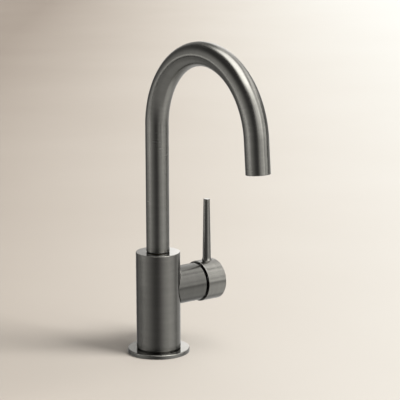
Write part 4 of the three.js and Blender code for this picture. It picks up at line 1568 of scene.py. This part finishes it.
@dataclass
class Handle(SubAssembly):
    """The cap that swings round the dome, with its slender lever."""

    body: ClassVar[Body] = Body.HANDLE

    cap_wall: float = 1.8 * MM
    cavity_depth: float = 6.0 * MM
    cavity_edge: float = 0.6 * MM
    cap_edge: float = 1.2 * MM
    rim_edge: float = 0.4 * MM
    cap_longest: float = 1.5 * MM
    stem_bore: float = 3.6 * MM
    stem_bore_end: float = 7.2 * MM
    hole_foot: float = 0.5 * MM
    lever_foot_radius: float = 4.9 * MM
    lever_base_radius: float = 4.0 * MM
    lever_tip_radius: float = 3.05 * MM
    lever_foot_height: float = 3.0 * MM
    lever_foot_edge: float = 0.12 * MM
    lever_even_length: float = 3.0 * MM
    lever_edge: float = 0.35 * MM
    lever_longest: float = 2.0 * MM
    flare_start: float = 0.12
    flare_steps: int = 6
    stud_radius: float = 2.5 * MM
    stud_foot: float = 3.9 * MM
    stud_edge: float = 0.3 * MM
    stud_depth: float = 2.0 * MM
    visible_gap: float = 0.06 * MM
    set_screw: GrubScrew = GrubScrew(2.3 * MM)

    def build(self) -> None:
        """Builds and dresses all of it."""
        self.cap()
        self.lever()
        self.screw()
        self.dress("cartridge_stem", ZINC, valve_axis())

    def cross_axis(self, name: str, tilt: tuple[float, float, float] = (0.0, 0.0, 0.0)) -> StraightAxis:
        """A centre line through the valve's at the lever's place, upward or turned by tilt."""
        return StraightAxis(name, (node_middle("handle_lever")[0], 0.0, valve_axis().origin[2]), tilt)

    def cap(self) -> None:
        """The cap: hollow where it swings round the dome, solid where it grips the stem."""
        (low, _, _), (high, radius, _) = node_span("handle_cap")
        stem, cavity = self.stem_bore, radius - self.cap_wall
        floor, end = low + self.cavity_depth, high - self.stem_bore_end
        corners = [
            (0.0, end), (stem, end), (stem, floor, SOFT), (cavity, floor, self.cavity_edge),
            (cavity, low, SOFT), (radius, low, self.rim_edge), (radius, high, self.cap_edge),
            (0.0, high),
        ]
        ends = (self.hole_foot, radius + PAST, 48)
        holes = [
            round_bar(self.cross_axis("lever"), self.stud_radius + FIT, *ends),
            round_bar(self.cross_axis("set_screw", DOWNWARD), self.set_screw.radius + FIT, *ends),
        ]
        outline = rounded(corners, closed=False, arc_steps=7, longest=self.cap_longest)
        self.turn("handle_cap", outline, GRAPHITE_PAINTED_LIGHT_CAP, 192, valve_axis(), holes)

    def lever(self) -> None:
        """The lever: a tapered rod with a spread foot cut to the cap, and a stud below it.

        The foot's radius is base + spread (1 - share)^2 over its height.
        """
        axis, host = self.cross_axis("lever"), float(node_span("handle_cap")[1][1])
        top = node_span("handle_lever")[1][2] - axis.origin[2]
        base, foot_height, gap = self.lever_base_radius, self.lever_foot_height, self.visible_gap
        stud, foot = self.stud_radius, self.lever_foot_radius
        flare = [
            (base + (foot - base) * (1 - share) ** 2, share * foot_height, 0.0, ON_HOST)
            for share in np.linspace(self.flare_start, 1.0, self.flare_steps + 1)
        ]
        corners = [
            (0.0, self.stud_foot), (stud, self.stud_foot, self.stud_edge),
            (stud, host - self.stud_depth), (stud, gap, 0.0, ON_HOST),
            (foot, gap, self.lever_foot_edge, ON_HOST), *flare,
            (base, host + foot_height + self.lever_even_length),
            (self.lever_tip_radius, top, self.lever_edge), (0.0, top),
        ]
        outline = rounded(corners, closed=False, longest=self.lever_longest)
        self.turn("handle_lever", outline, GRAPHITE_PAINTED_LIGHT_TUBE, 96, axis, host_radius=host)

    def screw(self) -> None:
        """The grub screw under the cap that locks it to the stem."""
        low, high = node_span("handle_set_screw")
        axis = self.cross_axis("set_screw", DOWNWARD)
        surface = self.set_screw.surface(axis, axis.origin[2] - high[2], axis.origin[2] - low[2])
        self.put("handle_set_screw", surface, ZINC, axis)


# ------------------------------------------------------------------------------ studio
@dataclass(frozen=True)
class SoftBox:
    """A far-off bright area of the studio with soft sides, in degrees.

    `azimuth` turns from +X toward +Y and `elevation` rises from the horizon. The area is full
    over the half width and half height and fades out over the two softnesses; a negative
    `strength` makes it a dark flag.
    """

    azimuth: float
    half_width: float
    side_softness: float
    elevation: float
    half_height: float
    edge_softness: float
    strength: float


@dataclass
class Studio:
    """The camera, the pale floor and the soft surroundings."""

    position: tuple[float, float, float] = (-0.86657, -1.20783, 0.45889)
    yaw: float = math.radians(-37.191)
    pitch: float = math.radians(11.853)
    roll: float = math.radians(0.151)
    lens: float = 145.82
    sensor: float = 36.0
    nearest: float = 0.05
    farthest: float = 50.0
    deck_hole: float = 17.5 * MM
    floor_rings: tuple[float, ...] = (0.1, 1.0, 6.0)
    floor_turns: int = 96
    floor_roughness: float = 0.8
    floor_specular: float = 0.2
    # floor colours of a painted light falloff: painted shade at the camera's left, painted light at its
    # right
    floor_shade: Colour = (0.045, 0.031, 0.022)
    floor_middle: Colour = (0.214, 0.195, 0.171)
    floor_light: Colour = (0.284, 0.289, 0.283)
    floor_half_width: float = 0.7
    floor_darkest: float = 0.17
    floor_clouds_per_metre: float = 3.0
    floor_cloud: float = 0.015
    key_azimuth: float = 306.0
    key_elevation: float = 42.0
    key_size: float = 30.0
    key_strength: float = 10.0
    key_colour: Colour = (1.0, 0.99, 0.97)
    surroundings_colour: Colour = (1.0, 0.975, 0.945)
    darkest: float = 0.02
    base: float = 0.10
    below: float = 0.48
    below_starts: float = -15.0
    below_full: float = -45.0
    boxes: tuple[SoftBox, ...] = (
        SoftBox(300, 180, 33, 89, 6, 11, 4.35),
        SoftBox(278, 8, 32, 34, 11, 33, 3.46),
        SoftBox(324, 9, 7, 22, 23, 5, 2.35),
        SoftBox(19, 31, 5, 21, 17, 31, 1.30),
        SoftBox(154, 2, 69, 1, 5, 35, 0.72),
        SoftBox(293, 4, 62, -8, 18, 22, 0.67),
        SoftBox(7, 65, 11, -6, 25, 21, 0.37),
        SoftBox(348, 49, 6, 6, 3, 22, -1.48),
        SoftBox(147, 0, 38, -7, 1, 5, 1.97),
        SoftBox(339, 100, 44, 69, 3, 14, 4.49),
        SoftBox(321, 30, 10, -62, 12, 18, 0.53),
        SoftBox(148, 11, 23, -12, 3, 7, -0.62),
        SoftBox(290, 32, 7, 26, 12, 14, -1.50),
        SoftBox(302, 11, 7, 37, 24, 26, 1.55),
        SoftBox(349, 14, 7, 40, 4, 9, 1.42),
        SoftBox(317, 14, 16, -2, 2, 7, 0.40),
        SoftBox(161, 7, 7, -5, 3, 5, 0.60),
        SoftBox(54.2, 1.9, 0.8, 15.2, 2.8, 1.5, 0.33),
        SoftBox(53.2, 0.9, 0.6, 15.2, 2.8, 1.5, 1.24),
    )

    def build(self) -> None:
        """Sets up all of it."""
        self.camera()
        self.floor()
        self.key_light()
        self.surroundings()

    def camera(self) -> None:
        """The camera at the photo's place: forward, right and down make its own axes."""
        yaw, pitch, roll = self.yaw, self.pitch, self.roll
        forward = Vector(
            (-math.sin(yaw) * math.cos(pitch), math.cos(yaw) * math.cos(pitch), -math.sin(pitch))
        )
        level = Vector((math.cos(yaw), math.sin(yaw), 0.0))
        under = forward.cross(level)
        right = math.cos(roll) * level + math.sin(roll) * under
        down = math.cos(roll) * under - math.sin(roll) * level
        data = bpy.data.cameras.new("view")
        data.lens, data.sensor_width = self.lens, self.sensor
        data.clip_start, data.clip_end = self.nearest, self.farthest
        camera = bpy.data.objects.new("view", data)
        turn = Matrix((right, -down, -forward)).transposed().to_4x4()
        camera.matrix_world = Matrix.Translation(Vector(self.position)) @ turn
        bpy.context.scene.collection.objects.link(camera)
        bpy.context.scene.camera = camera

    def floor(self) -> None:
        """A pale round floor at the deck's height: rings about the tap's hole, joined by quads."""
        angle = np.arange(self.floor_turns) * (2 * math.pi / self.floor_turns)
        rings = np.array([self.deck_hole, *self.floor_rings])
        radius, around = np.meshgrid(rings, angle, indexing="ij")
        points = np.stack([radius * np.cos(around), radius * np.sin(around), 0 * radius], axis=-1)
        number = np.arange(radius.size).reshape(radius.shape)
        right = np.roll(number, -1, axis=1)
        quads = np.stack([number[:-1], number[1:], right[1:], right[:-1]], axis=-1)
        mesh = bpy.data.meshes.new("floor")
        mesh.from_pydata(points.reshape(-1, 3).tolist(), [], quads.reshape(-1, 4).tolist())
        mesh.materials.append(self.floor_material())
        floor = bpy.data.objects.new("floor", mesh)
        floor.visible_glossy = False
        bpy.context.scene.collection.objects.link(floor)

    def floor_material(self) -> Material:
        """Pale cream plaster, seen only from above, with painted shade: darker and warmer toward the
        camera's left, as if light fell off away from the right.

        Returns:
            The material.
        """
        material, bench, shader = new_material("floor")
        place = bench.node("TexCoord")["Object"]
        rightward = (math.cos(self.yaw), math.sin(self.yaw), 0.0)
        across = bench.node("VectorMath", {0: place, 1: rightward}, operation="DOT_PRODUCT")["Value"]
        # painted shade and light: a share across the camera's view, darkest at its left
        share = bench.math("MULTIPLY_ADD", across, 0.5 / self.floor_half_width, 0.5)
        clouds = bench.noise(place, self.floor_clouds_per_metre, FINE_DETAIL)
        cloud = bench.spread(clouds, -self.floor_cloud, self.floor_cloud)
        share = bench.plus(bench.math("MAXIMUM", share, self.floor_darkest), cloud)
        tone = bench.node("ValToRGB", {"Fac": share})["Color"]
        ramp = tone.node.color_ramp
        ramp.interpolation = "B_SPLINE"
        ramp.elements.new(0.5)
        for stop, colour in zip(ramp.elements, (self.floor_shade, self.floor_middle, self.floor_light)):
            stop.color = (*colour, 1.0)
        ramp.elements[0].position, ramp.elements[2].position = 0.0, 1.0
        bench.fill(shader, {
            "Roughness": self.floor_roughness,
            "Specular IOR Level": self.floor_specular,
            "Base Color": tone,
        })
        side = bench.node("NewGeometry")["Backfacing"]
        clear = bench.node("BsdfTransparent")[0]
        either = bench.node("MixShader", {0: side, 1: shader.outputs[0], 2: clear})[0]
        bench.fill(bench.tree.nodes["Material Output"], {"Surface": either})
        return material

    def key_light(self) -> None:
        """The broad light from the right that throws the soft shadow on the floor."""
        data = bpy.data.lights.new("key", "SUN")
        data.energy, data.color = self.key_strength, self.key_colour
        data.angle = math.radians(self.key_size)
        lamp = bpy.data.objects.new("key", data)
        turn, rise = math.radians(self.key_azimuth), math.radians(self.key_elevation)
        lamp.rotation_euler = Euler((0.0, math.pi / 2 - rise, turn))
        lamp.visible_glossy = False
        bpy.context.scene.collection.objects.link(lamp)

    def fade(
        self, bench: NodeBench, angle: NodeSocket, middle: float, half: float, soft: float
    ) -> NodeSocket:
        """1 near the middle angle and 0 beyond half + soft on both sides.

        Args:
            bench: where the nodes go.
            angle: the angle, in degrees.
            middle: the middle angle.
            half: half of the full stretch.
            soft: over how many degrees it fades.

        Returns:
            The share, which falls off smoothly.
        """
        away = bench.math("PINGPONG", bench.math("SUBTRACT", angle, middle), 180.0)
        return bench.ranged(away, (half, half + soft), (1.0, 0.0), interpolation_type="SMOOTHSTEP")

    def surroundings(self) -> None:
        """Light from all round: a dim base, a pale ground below and the sum of the soft boxes."""
        world = bpy.data.worlds.new("studio")
        world.use_nodes = True
        bpy.context.scene.world = world
        bench = NodeBench(world.node_tree)
        x, y, z = bench.node("SeparateXYZ", {0: bench.node("TexCoord")["Generated"]})
        degrees = math.degrees(1.0)
        azimuth = bench.times(bench.math("ARCTAN2", y, x), degrees)
        elevation = bench.times(bench.math("ARCSINE", z), degrees)
        sinking = self.below_starts - self.below_full
        ground = self.fade(bench, elevation, -90.0, 90.0 + self.below_full, sinking)
        total = bench.math("MULTIPLY_ADD", ground, self.below, self.base)
        for box in self.boxes:
            wide = self.fade(bench, azimuth, box.azimuth, box.half_width, box.side_softness)
            high = self.fade(bench, elevation, box.elevation, box.half_height, box.edge_softness)
            total = bench.math("MULTIPLY_ADD", bench.times(wide, high), box.strength, total)
        bench.fill(world.node_tree.nodes["Background"], {
            "Color": (*self.surroundings_colour, 1.0),
            "Strength": bench.math("MAXIMUM", total, self.darkest),
        })
        bpy.context.scene.view_settings.view_transform = "Standard"


def main() -> None:
    """Builds the camera and studio first, then each sub-assembly from the deck up."""
    logging.basicConfig(level=logging.INFO, format="%(name)s: %(message)s")
    Studio().build()
    shop = Workshop()
    for part in (DeckFixing, Column, Spout, Valve, Handle):
        part(shop).build()


if __name__ == "__main__":
    main()
